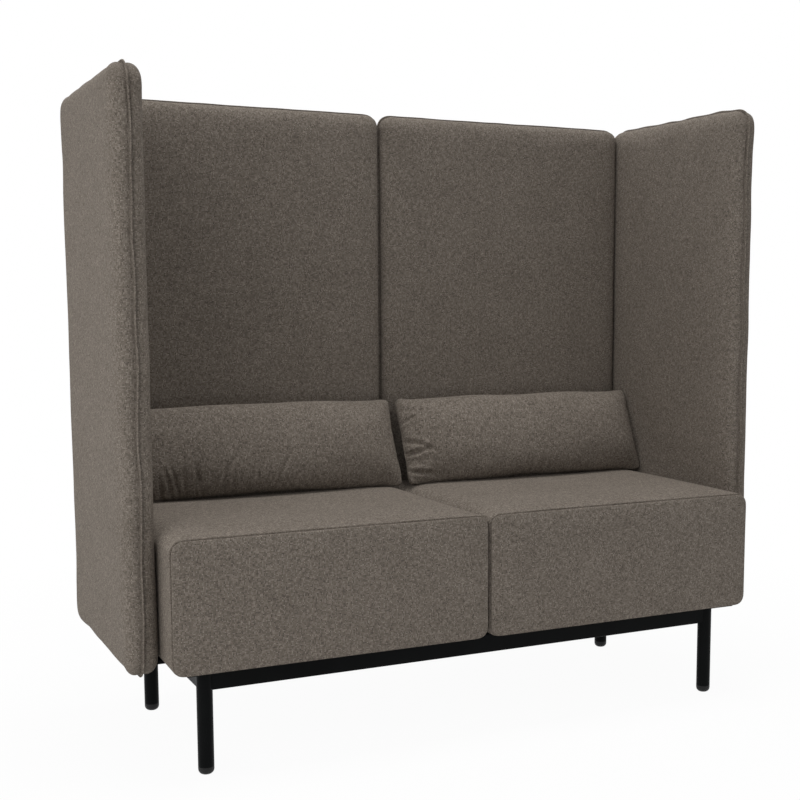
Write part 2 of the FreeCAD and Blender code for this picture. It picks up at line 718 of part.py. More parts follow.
# Upright padded panels
class PaddedPanel:
    """A plywood core between two foam sheets in a two-part cover, held by steel arms from a rail.

    In the panel's own frame x runs from its near face to its far face with the middle at 0, y runs along
    its width and z rises from its bottom edge.
    """

    def __init__(self, name, near, far, outline, thickness, flange, arm_spacing, reach, spot, turn):
        self.name = name
        self.near = near
        self.far = far
        self.width, self.height, self.corner = outline
        self.thickness = thickness
        self.flange = flange
        self.arm_spacing = arm_spacing
        self.reach = reach
        self.spot = spot
        self.turn = turn
        self.core_face = size.core_thickness / 2
        self.foam_depth = thickness / 2 - size.panel_cover - self.core_face

    def place(self, body):
        """Put a piece of this panel at the panel's place."""
        place(body, *self.spot, panel_bottom, turn=self.turn)

    def outline_sketch(self, body, inset, offset=0):
        """Sketch the panel's outline, drawn in by an inset, at an offset from its middle plane."""
        sketch = sketch_on(body, "YZ_Plane", y=self.height / 2, z=offset)
        self.draw(sketch, inset)
        return sketch

    def draw(self, sketch, inset):
        """Draw the panel's outline, drawn in by an inset."""
        inset = as_dim(inset)
        draw_rounded_rectangle(
            sketch, self.width - inset * 2, self.height - inset * 2, self.corner - inset
        )

    def arm_slots(self, body, depth, height, offset, backwards, low=0):
        """Cut the two slots that the arms lie in or pass through."""
        gap = size.arm_clearance
        low = as_dim(low)
        sketch = sketch_on(body, "YZ_Plane", z=offset)
        for y in (-(self.arm_spacing / 2), self.arm_spacing / 2):
            draw_rectangle(sketch, size.arm_width + gap * 2, height - low, y, (height + low) / 2)
        cut(body, sketch, depth, backwards=backwards)

    def add_core(self):
        """The plywood core board."""
        body = new_body(f"{self.name}_core")
        sketch = self.outline_sketch(body, size.panel_cover + size.core_clearance)
        pad(body, sketch, size.core_thickness, both_ways=True)
        self.place(body)

    def add_foam(self, half, near):
        """A foam sheet with its outer edges rounded; the near one is slotted for the arms."""
        body = new_body(f"{self.name}_{half}_foam")
        face = -self.core_face if near else self.core_face
        sketch = self.outline_sketch(body, size.panel_cover + size.panel_foam_clearance, face)
        depth = self.foam_depth - size.foam_clearance
        sheet = pad(body, sketch, depth, backwards=near)
        outside = face.value + (-depth.value if near else depth.value)
        bend = depth - size.foam_clearance
        round_edges(body, sheet, bend, edge_lies_at("X", outside))
        if near:
            inset = size.panel_cover + size.panel_foam_clearance
            slot = size.arm_thickness + size.screw_head_height + size.arm_clearance
            top = size.arm_rise + size.arm_clearance
            self.arm_slots(body, slot, top, face, backwards=False, low=-inset)
        self.place(body)

    def add_cover(self, half, near):
        """One half of the cover: a shallow shell with soft edges and a seam flange round its rim."""
        body = new_body(f"{self.name}_{half}_cover")
        depth = self.thickness / 2
        shell = pad(body, self.outline_sketch(body, 0), depth, backwards=near)
        face = -depth.value if near else depth.value
        soft = round_edges(body, shell, size.panel_edge_round, edge_lies_at("X", face))
        rim = next(
            f"Face{n}"
            for n, side in enumerate(soft.Shape.Faces, start=1)
            if side.BoundBox.XLength < NEAR and abs(side.BoundBox.XMax) < NEAR
        )
        hollow = body.newObject("PartDesign::Thickness", "Hollow")
        hollow.Base = (soft, [rim])
        hollow.Reversed = True
        bind(hollow, "Value", size.panel_cover)
        doc.recompute()
        sketch = self.outline_sketch(body, -self.flange)
        self.draw(sketch, size.panel_cover / 2)
        pad(body, sketch, size.flange_layer, backwards=near)
        if near:
            offset = -(self.core_face - size.arm_clearance)
            deep = size.arm_thickness + size.arm_clearance * 2
            top = size.panel_cover * 2
            self.arm_slots(body, deep, top, offset, backwards=False, low=-(size.panel_cover * 2))
        self.place(body)

    def arm_level(self):
        """Underside of the arms' level run, seen from the panel's bottom edge."""
        return size.frame_top - size.arm_drop - panel_bottom

    def screw_points(self):
        """The screws' places on the two arms."""
        sides = (-(self.arm_spacing / 2), self.arm_spacing / 2)
        return [(y, z) for y in sides for z in (size.screw_low, size.screw_high)]

    def add_arms(self):
        """Two flat steel arms, bent up from the rail and lying on the core's near face."""
        body = new_body(f"{self.name}_arms")
        low = self.arm_level()
        thick = size.arm_thickness
        outer = -self.core_face
        start = outer - self.reach
        points = [
            (start, low),
            (outer, low),
            (outer, size.arm_rise),
            (outer - thick, size.arm_rise),
            (outer - thick, low + thick),
            (start, low + thick),
        ]
        sketch = sketch_on(body, "XZ_Plane", z=self.arm_spacing / 2)
        draw_outline(sketch, points)
        arm = pad(body, sketch, size.arm_width, both_ways=True)
        row = repeat(body, arm, "Y_Axis", self.arm_spacing, 2)

        def runs_along_bend(x, z):
            """Test that an edge runs across the arms at a corner of the bend."""
            def chosen(edge):
                box = edge.BoundBox
                across = box.YLength > 1 and box.XLength < NEAR and box.ZLength < NEAR
                return across and abs(box.XMin - x) < NEAR and abs(box.ZMin - z) < NEAR
            return chosen

        inside = runs_along_bend((outer - thick).value, (low + thick).value)
        row = round_edges(body, row, size.arm_bend, inside)
        outside = runs_along_bend(outer.value, low.value)
        round_edges(body, row, size.arm_bend + thick, outside)
        sketch = sketch_on(body, "YZ_Plane", z=outer)
        draw_circles(sketch, size.screw_diameter + size.bolt_hole_clearance * 2, self.screw_points())
        cut(body, sketch, thick)
        self.place(body)

    def add_screws(self):
        """Screws through the arms into the core."""
        body = new_body(f"{self.name}_screws")
        seat = -(self.core_face + size.arm_thickness)
        sketch = sketch_on(body, "YZ_Plane", z=seat)
        draw_circles(sketch, size.screw_head_diameter, self.screw_points())
        pad(body, sketch, size.screw_head_height, backwards=True)
        sketch = sketch_on(body, "YZ_Plane", z=seat)
        draw_circles(sketch, size.screw_diameter, self.screw_points())
        pad(body, sketch, size.arm_thickness + size.screw_bite)
        self.place(body)

    def drill_core(self):
        """Pilot holes in the core for the screws."""
        core = next(body for body in sub_parts if body.Label == f"{self.name}_core")
        sketch = sketch_on(core, "YZ_Plane", z=-self.core_face)
        draw_circles(sketch, size.screw_diameter, self.screw_points())
        cut(core, sketch, size.screw_bite, backwards=True)

    def build(self):
        """Make every piece of the panel."""
        self.add_core()
        self.drill_core()
        self.add_foam(self.near, near=True)
        self.add_foam(self.far, near=False)
        self.add_cover(self.near, near=True)
        self.add_cover(self.far, near=False)
        self.add_arms()
        self.add_screws()


def side_panel(name, side):
    """A side panel, with its near face towards the seats."""
    reach = panel_middle - size.core_thickness / 2 - leg_x - size.rail_width / 2
    return PaddedPanel(
        name=f"{name}_panel",
        near="inner",
        far="outer",
        outline=(panel_depth, size.panel_height, size.panel_corner),
        thickness=size.panel_thickness,
        flange=size.panel_flange,
        arm_spacing=size.panel_arm_spacing,
        reach=reach,
        spot=(panel_middle * side, (panel_front + panel_rear) / 2),
        turn=0 if side > 0 else 180,
    )


def back_panel(name, side):
    """A back panel, with its near face towards the front."""
    reach = back_middle - size.core_thickness / 2 - leg_rear - size.rail_width / 2
    return PaddedPanel(
        name=f"{name}_back",
        near="front",
        far="rear",
        outline=(back_width, size.panel_height, size.back_corner),
        thickness=size.back_thickness,
        flange=size.back_flange,
        arm_spacing=size.back_arm_spacing,
        reach=reach,
        spot=((back_inner + back_outer) / 2 * side, back_middle),
        turn=90,
    )


# Loose pillows, with sections at these shares of the way from the middle to an end
PILLOW_STATIONS = (0.35, 0.6, 0.78, 0.9, 0.97, 1.0)


def pillow_sections(body, inset):
    """Sections of a pillow from end to end, drawn in by an inset: full middle, pulled-in sides."""
    end = pillow_width / 2 - inset * 2
    shares = [-share for share in reversed(PILLOW_STATIONS)] + [0.0] + list(PILLOW_STATIONS)
    sections = []
    for share in shares:
        height = size.pillow_waist + (size.pillow_height - size.pillow_waist) * share ** 2
        fullness = math.sqrt(1 - share ** 4)
        swell = size.pillow_thickness - size.pillow_end_thickness
        thickness = size.pillow_end_thickness + swell * fullness
        sketch = sketch_on(body, "YZ_Plane", z=end * share)
        draw_lens_section(
            sketch, height - inset * 4, thickness - inset * 2, size.pillow_seam - inset
        )
        sections.append(sketch)
    return sections


def place_pillow(body, side):
    """Lean a pillow on the back, with its lower seam on the seat."""
    lean = size.pillow_lean
    bulge = size.pillow_thickness / 2 - size.pillow_seam / 2
    waist = size.pillow_waist / 2
    half = size.pillow_height / 2
    radius = (waist * waist + bulge * bulge) / (bulge * 2)
    rear_reach = radius - (radius - size.pillow_thickness / 2) * cosine(lean)
    drop = half * cosine(lean) + size.pillow_seam / 2 * sine(lean)
    x = seat_centre * side + size.pillow_shift
    y = back_front - size.pillow_clearance - rear_reach
    foot = y - half * sine(lean) + size.pillow_seam / 2 * cosine(lean) - seat_middle
    dip = foot * foot * size.seat_crown * 4 / (size.seat_depth * size.seat_depth)
    z = size.seat_top - dip + size.pillow_clearance + drop
    place(body, x, y, z)
    body.Placement = Placement(body.Placement.Base, Rotation(Vector(-1, 0, 0), lean.value))
    bind(body, "Placement.Rotation.Angle", lean)


def add_pillow(name, side):
    """A loose lumbar pillow: a sewn cover and its filling."""
    cover = new_body(f"{name}_pillow_cover")
    loft(cover, pillow_sections(cover, as_dim(0)))
    loft(cover, pillow_sections(cover, size.pillow_cover / 2), "PartDesign::SubtractiveLoft")
    place_pillow(cover, side)
    filling = new_body(f"{name}_pillow_filling")
    loft(filling, pillow_sections(filling, size.pillow_cover / 2 + size.pillow_clearance / 2))
    place_pillow(filling, side)


def check_and_write():
    """Stop on any failed piece, then write each sub-part to its own file."""
    doc.recompute()
    failed = [item.Label for item in doc.Objects if {"Invalid", "Error"} & set(item.State)]
    if failed:
        raise RuntimeError(f"failed: {failed}")
    for body in sub_parts:
        if body.Shape.isNull() or not body.Shape.isValid() or not body.Shape.Solids:
            raise RuntimeError(f"{body.Label} has no sound shape")
    os.makedirs("parts", exist_ok=True)
    for body in sub_parts:
        body.Shape.exportStep(f"parts/{body.Label}.step")
        box = body.Shape.BoundBox
        print(
            f"{body.Label}: {len(body.Shape.Solids)} solids, "
            f"x {box.XMin:.1f}..{box.XMax:.1f}, y {box.YMin:.1f}..{box.YMax:.1f}, "
            f"z {box.ZMin:.1f}..{box.ZMax:.1f}"
        )


add_frame()
for side_name, side_sign in (("left", -1), ("right", 1)):
    add_seat(side_name, side_sign)
    side_panel(side_name, side_sign).build()
    back_panel(side_name, side_sign).build()
    add_pillow(side_name, side_sign)
add_seat_fasteners()
check_and_write()
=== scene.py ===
"""A two-seat high-back sofa: cushions, panels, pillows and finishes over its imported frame."""

import logging
import math
from dataclasses import dataclass, field
from enum import Enum
from typing import Any

import bmesh
import bpy
import numpy as np
from mathutils import Matrix, Vector, noise


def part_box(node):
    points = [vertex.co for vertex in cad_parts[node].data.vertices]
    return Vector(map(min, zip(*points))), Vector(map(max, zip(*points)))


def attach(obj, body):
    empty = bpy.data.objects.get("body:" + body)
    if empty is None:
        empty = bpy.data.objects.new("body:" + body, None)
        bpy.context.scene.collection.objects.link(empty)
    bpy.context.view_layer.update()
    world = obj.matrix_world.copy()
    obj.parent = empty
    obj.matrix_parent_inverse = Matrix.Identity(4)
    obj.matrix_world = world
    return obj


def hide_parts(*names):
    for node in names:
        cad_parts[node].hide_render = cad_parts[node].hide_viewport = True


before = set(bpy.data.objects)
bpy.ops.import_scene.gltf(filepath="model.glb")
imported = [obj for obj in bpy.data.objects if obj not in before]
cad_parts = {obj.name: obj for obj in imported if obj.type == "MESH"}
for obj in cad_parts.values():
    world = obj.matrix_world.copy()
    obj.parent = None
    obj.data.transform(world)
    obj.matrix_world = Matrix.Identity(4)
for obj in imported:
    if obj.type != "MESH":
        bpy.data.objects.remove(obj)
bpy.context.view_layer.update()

LOG = logging.getLogger("sofa")
CLOTH_UV = "Cloth"
ACROSS, BACK, UP = Vector((1, 0, 0)), Vector((0, 1, 0)), Vector((0, 0, 1))
RIPPLE_APART, RIPPLE_GAIN = 7.31, 1.6
AT_SEAM = 1e-6
Colour = tuple[float, float, float]
Place = tuple[float, float, float]


class Side(Enum):
    """The sitter's two places, as seen from the front."""

    LEFT = "left"
    RIGHT = "right"

    @property
    def seed(self) -> int:
        """The number that makes one side's folds differ from the other's."""
        return 3 if self is Side.LEFT else 11


class Slot(Enum):
    """The record's material slots."""

    UPHOLSTERY = "upholstery"
    FOAM = "foam"
    TIMBER = "timber"
    WEBBING = "webbing"
    BASE_CLOTH = "base_cloth"
    BLACK_STEEL = "black_steel"
    GLIDE_PLASTIC = "glide_plastic"
    ZINC_STEEL = "zinc_steel"


class Wiring:
    """Adds nodes to one tree and joins them."""

    def __init__(self, tree: bpy.types.NodeTree) -> None:
        """Keep the tree that the nodes go into."""
        self.tree = tree

    def feed(self, socket: bpy.types.NodeSocket, value: Any) -> None:
        """Give a socket another node's output, or a value of its own.

        Args:
            socket: The input to fill.
            value: An output socket, or a plain value.
        """
        if isinstance(value, bpy.types.NodeSocket):
            self.tree.links.new(value, socket)
        else:
            socket.default_value = value

    def add(self, kind: str, settings: dict[str, Any], **inputs: Any) -> bpy.types.Node:
        """Add one node.

        Args:
            kind: The node's type name.
            settings: The node's own properties.
            inputs: Values or outputs by input name, with _ for a space.

        Returns:
            The new node.
        """
        node = self.tree.nodes.new(kind)
        for key, value in settings.items():
            setattr(node, key, value)
        for key, value in inputs.items():
            self.feed(node.inputs[key.replace("_", " ")], value)
        return node

    def math(self, operation: str, *values: Any) -> bpy.types.NodeSocket:
        """Work one sum.

        Args:
            operation: Blender's name of the sum.
            values: Its terms, each a number or an output.

        Returns:
            The output with the result.
        """
        node = self.tree.nodes.new("ShaderNodeMath")
        node.operation = operation
        for socket, value in zip(node.inputs, values):
            self.feed(socket, value)
        return node.outputs[0]

    def noise(self, place: Any, scale: float, detail: float = 0.0) -> bpy.types.NodeSocket:
        """Read smooth noise.

        Args:
            place: The output with the place to read at.
            scale: How many lumps there are in a metre or a thread.
            detail: How many finer layers are added.

        Returns:
            The output with the noise, about 0.5 on the whole.
        """
        node = self.add("ShaderNodeTexNoise", {}, Vector=place, Scale=scale, Detail=detail)
        return node.outputs["Fac"]

    def ramp(self, value: Any, stops: list[tuple[float, Colour]]) -> bpy.types.NodeSocket:
        """Turn a value into a colour.

        Args:
            value: The output that picks the colour.
            stops: Places from 0 to 1, each with its colour.

        Returns:
            The output with the colour.
        """
        node = self.add("ShaderNodeValToRGB", {}, Fac=value)
        elements = node.color_ramp.elements
        while len(elements) < len(stops):
            elements.new(0.5)
        for element, (place, colour) in zip(elements, stops):
            element.position = place
            element.color = (*colour, 1.0)
        return node.outputs["Color"]


class ShaderGroup:
    """A shader effect that several finishes share, built once."""

    def __init__(self, name: str, inputs: dict[str, tuple[str, Any]], outputs: list[str]) -> None:
        """Make the group and its sockets.

        Args:
            name: The group's name.
            inputs: Socket type and starting value by input name.
            outputs: The names of the values that the group puts out.
        """
        self.tree = bpy.data.node_groups.new(name, "ShaderNodeTree")
        for key, (kind, value) in inputs.items():
            socket = self.tree.interface.new_socket(key, in_out="INPUT", socket_type=kind)
            if value is not None:
                socket.default_value = value
        for key in outputs:
            self.tree.interface.new_socket(key, in_out="OUTPUT", socket_type="NodeSocketFloat")
        self.wiring = Wiring(self.tree)
        self.given = self.wiring.add("NodeGroupInput", {}).outputs
        self.result = self.wiring.add("NodeGroupOutput", {}).inputs

    def put_out(self, name: str, value: bpy.types.NodeSocket) -> None:
        """Join a value to one of the group's outputs."""
        self.wiring.feed(self.result[name], value)


class PlainWeave(ShaderGroup):
    """Threads that pass over and under each other, each with its own run of lighter and darker yarn."""

    drift_scale: float = 0.22
    thread_round: float = 0.45
    yarn_apart: float = 1.73
    weft_apart: float = 50.0
    cloud_scale: float = 11.0

    def __init__(self) -> None:
        """Build the group's nodes."""
        super().__init__(
            "plain_weave",
            {
                "Place": ("NodeSocketVector", None),
                "Threads per metre": ("NodeSocketFloat", 400.0),
                "Fleck length": ("NodeSocketFloat", 4.0),
                "Wander": ("NodeSocketFloat", 0.3),
            },
            ["Height", "Fleck", "Cloud"],
        )
        w = self.wiring
        place = w.add("ShaderNodeVectorMath", {"operation": "SCALE"}, Scale=self.given["Threads per metre"])
        w.feed(place.inputs[0], self.given["Place"])
        drift = w.add("ShaderNodeTexNoise", {}, Vector=place.outputs[0], Scale=self.drift_scale, Detail=1.0)
        centred = w.add("ShaderNodeVectorMath", {"operation": "SUBTRACT"})
        w.feed(centred.inputs[0], drift.outputs["Color"])
        centred.inputs[1].default_value = (0.5, 0.5, 0.5)
        swing = w.add("ShaderNodeVectorMath", {"operation": "SCALE"}, Scale=self.given["Wander"])
        w.feed(swing.inputs[0], centred.outputs[0])
        moved = w.add("ShaderNodeVectorMath", {"operation": "ADD"})
        w.feed(moved.inputs[0], place.outputs[0])
        w.feed(moved.inputs[1], swing.outputs[0])
        parts = w.add("ShaderNodeSeparateXYZ", {}, Vector=moved.outputs[0])
        x, y = parts.outputs["X"], parts.outputs["Y"]
        column, row = w.math("FLOOR", x), w.math("FLOOR", y)
        over = w.math("MODULO", w.math("ABSOLUTE", w.math("ADD", column, row)), 2.0)
        round_x = w.math("SINE", w.math("MULTIPLY", w.math("FRACT", x), math.pi))
        round_y = w.math("SINE", w.math("MULTIPLY", w.math("FRACT", y), math.pi))
        high, low = self.thread_round, 1.0 - self.thread_round
        warp = w.math("MULTIPLY", round_x, w.math("MULTIPLY_ADD", round_y, high, low))
        weft = w.math("MULTIPLY", round_y, w.math("MULTIPLY_ADD", round_x, high, low))
        self.put_out("Height", self.pick(over, warp, weft))
        warp_yarn = self.yarn(column, w.math("DIVIDE", y, self.given["Fleck length"]), 0.0)
        weft_yarn = self.yarn(row, w.math("DIVIDE", x, self.given["Fleck length"]), self.weft_apart)
        self.put_out("Fleck", self.pick(over, warp_yarn, weft_yarn))
        self.put_out("Cloud", w.noise(self.given["Place"], self.cloud_scale, 2.0))

    def pick(self, choice: Any, first: Any, second: Any) -> bpy.types.NodeSocket:
        """Take the first value where the choice is 0 and the second where it is 1."""
        mix = self.wiring.add("ShaderNodeMix", {"data_type": "FLOAT"}, Factor=choice)
        self.wiring.feed(mix.inputs[2], first)
        self.wiring.feed(mix.inputs[3], second)
        return mix.outputs[0]

    def yarn(self, thread: Any, along: Any, other: float) -> bpy.types.NodeSocket:
        """Read one thread's lighter and darker runs.

        Args:
            thread: The thread's own number.
            along: How far along the thread the place is.
            other: A number that keeps warp and weft apart.

        Returns:
            The output with the yarn's lightness.
        """
        place = self.wiring.add("ShaderNodeCombineXYZ", {}, Y=along, Z=other)
        self.wiring.feed(place.inputs["X"], self.wiring.math("MULTIPLY", thread, self.yarn_apart))
        return self.wiring.noise(place.outputs[0], 1.0, 1.0)


class FineGrain(ShaderGroup):
    """The small lumps of a coating or moulding, and its slow change of tone."""

    tone_scale: float = 14.0

    def __init__(self) -> None:
        """Build the group's nodes."""
        super().__init__(
            "fine_grain",
            {"Place": ("NodeSocketVector", None), "Lumps per metre": ("NodeSocketFloat", 900.0)},
            ["Height", "Tone"],
        )
        w = self.wiring
        self.put_out("Height", w.noise(self.given["Place"], self.given["Lumps per metre"], 2.0))
        self.put_out("Tone", w.noise(self.given["Place"], self.tone_scale, 3.0))


class Workshop:
    """The shared shader groups, made once for all finishes."""

    def __init__(self) -> None:
        """Build every group."""
        self.weave = PlainWeave()
        self.grain = FineGrain()


@dataclass(frozen=True)
class Finish:
    """What every finish has: a name and a way to start its material."""

    name: str

    def start(self) -> tuple[bpy.types.Material, Wiring, bpy.types.Node]:
        """Make an empty material.

        Returns:
            The material, its wiring and its shader.
        """
        material = bpy.data.materials.new(self.name)
        material.use_nodes = True
        material.node_tree.nodes.clear()
        wiring = Wiring(material.node_tree)
        shader = wiring.add("ShaderNodeBsdfPrincipled", {})
        wiring.add("ShaderNodeOutputMaterial", {}, Surface=shader.outputs[0])
        return material, wiring, shader

    @staticmethod
    def object_place(wiring: Wiring) -> bpy.types.NodeSocket:
        """The output with the place in the frame."""
        return wiring.add("ShaderNodeTexCoord", {}).outputs["Object"]


@dataclass(frozen=True)
class WovenCloth(Finish):
    """Cloth of mixed yarns, which catches light in its nap."""

    dark: Colour
    middle: Colour
    light: Colour
    threads: float
    fleck: float
    wander: float
    nap: float
    bump: float
    unwrapped: bool = True
    cloud: float = 0.08
    # Painted shade between the threads: how much lighter the raised yarn is than the darkest valley, and
    # that valley's level.
    painted_shade_span: float = 0.34
    painted_shade_floor: float = 0.72
    fleck_height: float = 0.5
    roughness: float = 0.97
    thread_polish: float = 0.1
    gloss: float = 0.15
    nap_roughness: float = 0.6

    def material(self, shop: Workshop) -> bpy.types.Material:
        """Build the cloth's material.

        Args:
            shop: The shared shader groups.

        Returns:
            The finished material.
        """
        material, w, shader = self.start()
        if self.unwrapped:
            place = w.add("ShaderNodeUVMap", {"uv_map": CLOTH_UV}).outputs[0]
        else:
            place = self.object_place(w)
        weave = w.add("ShaderNodeGroup", {"node_tree": shop.weave.tree}, Place=place)
        weave.inputs["Threads per metre"].default_value = self.threads
        weave.inputs["Fleck length"].default_value = self.fleck
        weave.inputs["Wander"].default_value = self.wander
        cloud = w.math("MULTIPLY_ADD", weave.outputs["Cloud"], self.cloud, -self.cloud / 2)
        yarn = w.math("ADD", weave.outputs["Fleck"], cloud)
        colour = w.ramp(yarn, [(0.28, self.dark), (0.5, self.middle), (0.74, self.light)])
        # Painted shade: the colour is darkened in the valleys between the threads, where the weave is low.
        painted_valley_shade = w.math("MULTIPLY_ADD", weave.outputs["Height"], self.painted_shade_span, self.painted_shade_floor)
        painted_shade_mix = w.add("ShaderNodeMix", {"data_type": "RGBA", "blend_type": "MULTIPLY"}, Factor=1.0)
        w.feed(painted_shade_mix.inputs[6], colour)
        w.feed(painted_shade_mix.inputs[7], painted_valley_shade)
        w.feed(shader.inputs["Base Color"], painted_shade_mix.outputs[2])
        rough = w.math("MULTIPLY_ADD", weave.outputs["Height"], -self.thread_polish, self.roughness)
        w.feed(shader.inputs["Roughness"], rough)
        lift = w.math("MULTIPLY_ADD", weave.outputs["Fleck"], self.fleck_height, weave.outputs["Height"])
        bump = w.add("ShaderNodeBump", {}, Strength=self.bump, Distance=0.5 / self.threads, Height=lift)
        w.feed(shader.inputs["Normal"], bump.outputs[0])
        shader.inputs["Specular IOR Level"].default_value = self.gloss
        shader.inputs["Sheen Weight"].default_value = self.nap
        shader.inputs["Sheen Roughness"].default_value = self.nap_roughness
        shader.inputs["Sheen Tint"].default_value = (*self.light, 1.0)
        return material


@dataclass(frozen=True)
class Coating(Finish):
    """Powder coat or moulded plastic: a plain tone with a fine grain."""

    colour: Colour
    worn: Colour
    roughness: float
    gloss: float
    lumps: float
    bump: float
    mottle: float = 0.16
    grain_height: float = 0.0002

    def material(self, shop: Workshop) -> bpy.types.Material:
        """Build the coating's material.

        Args:
            shop: The shared shader groups.

        Returns:
            The finished material.
        """
        material, w, shader = self.start()
        grain = w.add("ShaderNodeGroup", {"node_tree": shop.grain.tree}, Place=self.object_place(w))
        grain.inputs["Lumps per metre"].default_value = self.lumps
        tone, height = grain.outputs["Tone"], grain.outputs["Height"]
        w.feed(shader.inputs["Base Color"], w.ramp(tone, [(0.3, self.colour), (0.75, self.worn)]))
        rough = w.math("MULTIPLY_ADD", tone, self.mottle, self.roughness - self.mottle / 2)
        w.feed(shader.inputs["Roughness"], rough)
        bump = w.add("ShaderNodeBump", {}, Strength=self.bump, Distance=self.grain_height, Height=height)
        w.feed(shader.inputs["Normal"], bump.outputs[0])
        shader.inputs["Specular IOR Level"].default_value = self.gloss
        return material


@dataclass(frozen=True)
class PlatedSteel(Finish):
    """Bright zinc on small steel pieces."""

    colour: Colour
    roughness: float
    dulling: float = 0.7
    mottle: float = 0.2

    def material(self, shop: Workshop) -> bpy.types.Material:
        """Build the plating's material.

        Args:
            shop: The shared shader groups.

        Returns:
            The finished material.
        """
        material, w, shader = self.start()
        grain = w.add("ShaderNodeGroup", {"node_tree": shop.grain.tree}, Place=self.object_place(w))
        dull = tuple(part * self.dulling for part in self.colour)
        tone = w.ramp(grain.outputs["Tone"], [(0.35, dull), (0.65, self.colour)])
        w.feed(shader.inputs["Base Color"], tone)
        rough = w.math("MULTIPLY_ADD", grain.outputs["Height"], self.mottle, self.roughness)
        w.feed(shader.inputs["Roughness"], rough)
        shader.inputs["Metallic"].default_value = 1.0
        return material


@dataclass(frozen=True)
class BirchBoard(Finish):
    """Plywood with a long grain."""

    early: Colour
    late: Colour
    rings: float
    stretch: float = 0.06
    roughness: float = 0.55
    mottle: float = 0.25
    bump: float = 0.2
    fibre_height: float = 0.0003

    def material(self, shop: Workshop) -> bpy.types.Material:
        """Build the board's material.

        Args:
            shop: The shared shader groups.

        Returns:
            The finished material.
        """
        material, w, shader = self.start()
        place = self.object_place(w)
        long = w.add("ShaderNodeMapping", {}, Vector=place, Scale=(1.0, 1.0, self.stretch))
        grain = w.noise(long.outputs[0], self.rings, 4.0)
        fibre = w.add("ShaderNodeGroup", {"node_tree": shop.grain.tree}, Place=long.outputs[0])
        w.feed(shader.inputs["Base Color"], w.ramp(grain, [(0.35, self.early), (0.68, self.late)]))
        height = fibre.outputs["Height"]
        w.feed(shader.inputs["Roughness"], w.math("MULTIPLY_ADD", height, self.mottle, self.roughness))
        bump = w.add("ShaderNodeBump", {}, Strength=self.bump, Distance=self.fibre_height, Height=height)
        w.feed(shader.inputs["Normal"], bump.outputs[0])
        return material


@dataclass(frozen=True)
class OpenFoam(Finish):
    """Cut foam with open cells, with painted shade in its pores."""

    # The first colour is painted shade in the pores; the second is the foam's cell walls.
    painted_pore_shade: Colour
    wall: Colour
    cells: float
    mottle: float = 0.3
    roughness: float = 0.95
    bump: float = 0.4
    cell_depth: float = 0.0006

    def material(self, shop: Workshop) -> bpy.types.Material:
        """Build the foam's material.

        Args:
            shop: The shared shader groups.

        Returns:
            The finished material.
        """
        material, w, shader = self.start()
        place = self.object_place(w)
        cells = w.add("ShaderNodeTexVoronoi", {}, Vector=place, Scale=self.cells).outputs["Distance"]
        grain = w.add("ShaderNodeGroup", {"node_tree": shop.grain.tree}, Place=place)
        lift = w.math("MULTIPLY_ADD", grain.outputs["Tone"], self.mottle, cells)
        # Painted shade: the pores are darker than the cell walls, mixed with a random tone.
        w.feed(shader.inputs["Base Color"], w.ramp(lift, [(0.2, self.painted_pore_shade), (0.8, self.wall)]))
        bump = w.add("ShaderNodeBump", {}, Strength=self.bump, Distance=self.cell_depth, Height=cells)
        w.feed(shader.inputs["Normal"], bump.outputs[0])
        shader.inputs["Roughness"].default_value = self.roughness
        return material


@dataclass(frozen=True)
class Palette:
    """Every finish of the sofa."""

    upholstery: WovenCloth = WovenCloth(
        "taupe_melange_cloth",
        dark=(0.108, 0.090, 0.073),
        middle=(0.204, 0.174, 0.145),
        light=(0.345, 0.301, 0.258),
        threads=400.0,
        fleck=3.2,
        wander=0.9,
        nap=0.18,
        bump=0.55,
    )
    thread: WovenCloth = WovenCloth(
        "taupe_sewing_thread",
        dark=(0.085, 0.072, 0.060),
        middle=(0.13, 0.112, 0.095),
        light=(0.2, 0.175, 0.15),
        threads=2500.0,
        fleck=2.0,
        wander=0.4,
        nap=0.1,
        bump=0.3,
        unwrapped=False,
    )
    webbing: WovenCloth = WovenCloth(
        "black_elastic_webbing",
        dark=(0.010, 0.010, 0.011),
        middle=(0.022, 0.022, 0.023),
        light=(0.09, 0.07, 0.05),
        threads=700.0,
        fleck=9.0,
        wander=0.1,
        nap=0.05,
        bump=0.5,
        unwrapped=False,
    )
    base_cloth: WovenCloth = WovenCloth(
        "black_base_cloth",
        dark=(0.008, 0.008, 0.009),
        middle=(0.016, 0.016, 0.017),
        light=(0.035, 0.035, 0.036),
        threads=900.0,
        fleck=6.0,
        wander=1.6,
        nap=0.05,
        bump=0.3,
    )
    steel: Coating = Coating(
        "black_powder_coat",
        colour=(0.0030, 0.0034, 0.0036),
        worn=(0.0055, 0.0060, 0.0062),
        roughness=0.40,
        gloss=0.05,
        lumps=1400.0,
        bump=0.2,
    )
    plastic: Coating = Coating(
        "black_moulded_plastic",
        colour=(0.007, 0.007, 0.0075),
        worn=(0.014, 0.014, 0.014),
        roughness=0.5,
        gloss=0.25,
        lumps=2600.0,
        bump=0.3,
    )
    zinc: PlatedSteel = PlatedSteel("zinc_plate", colour=(0.66, 0.66, 0.64), roughness=0.25)
    timber: BirchBoard = BirchBoard(
        "birch_plywood", early=(0.62, 0.45, 0.28), late=(0.42, 0.27, 0.14), rings=60.0
    )
    foam: OpenFoam = OpenFoam("cut_foam", painted_pore_shade=(0.42, 0.39, 0.33), wall=(0.72, 0.69, 0.6), cells=900.0)


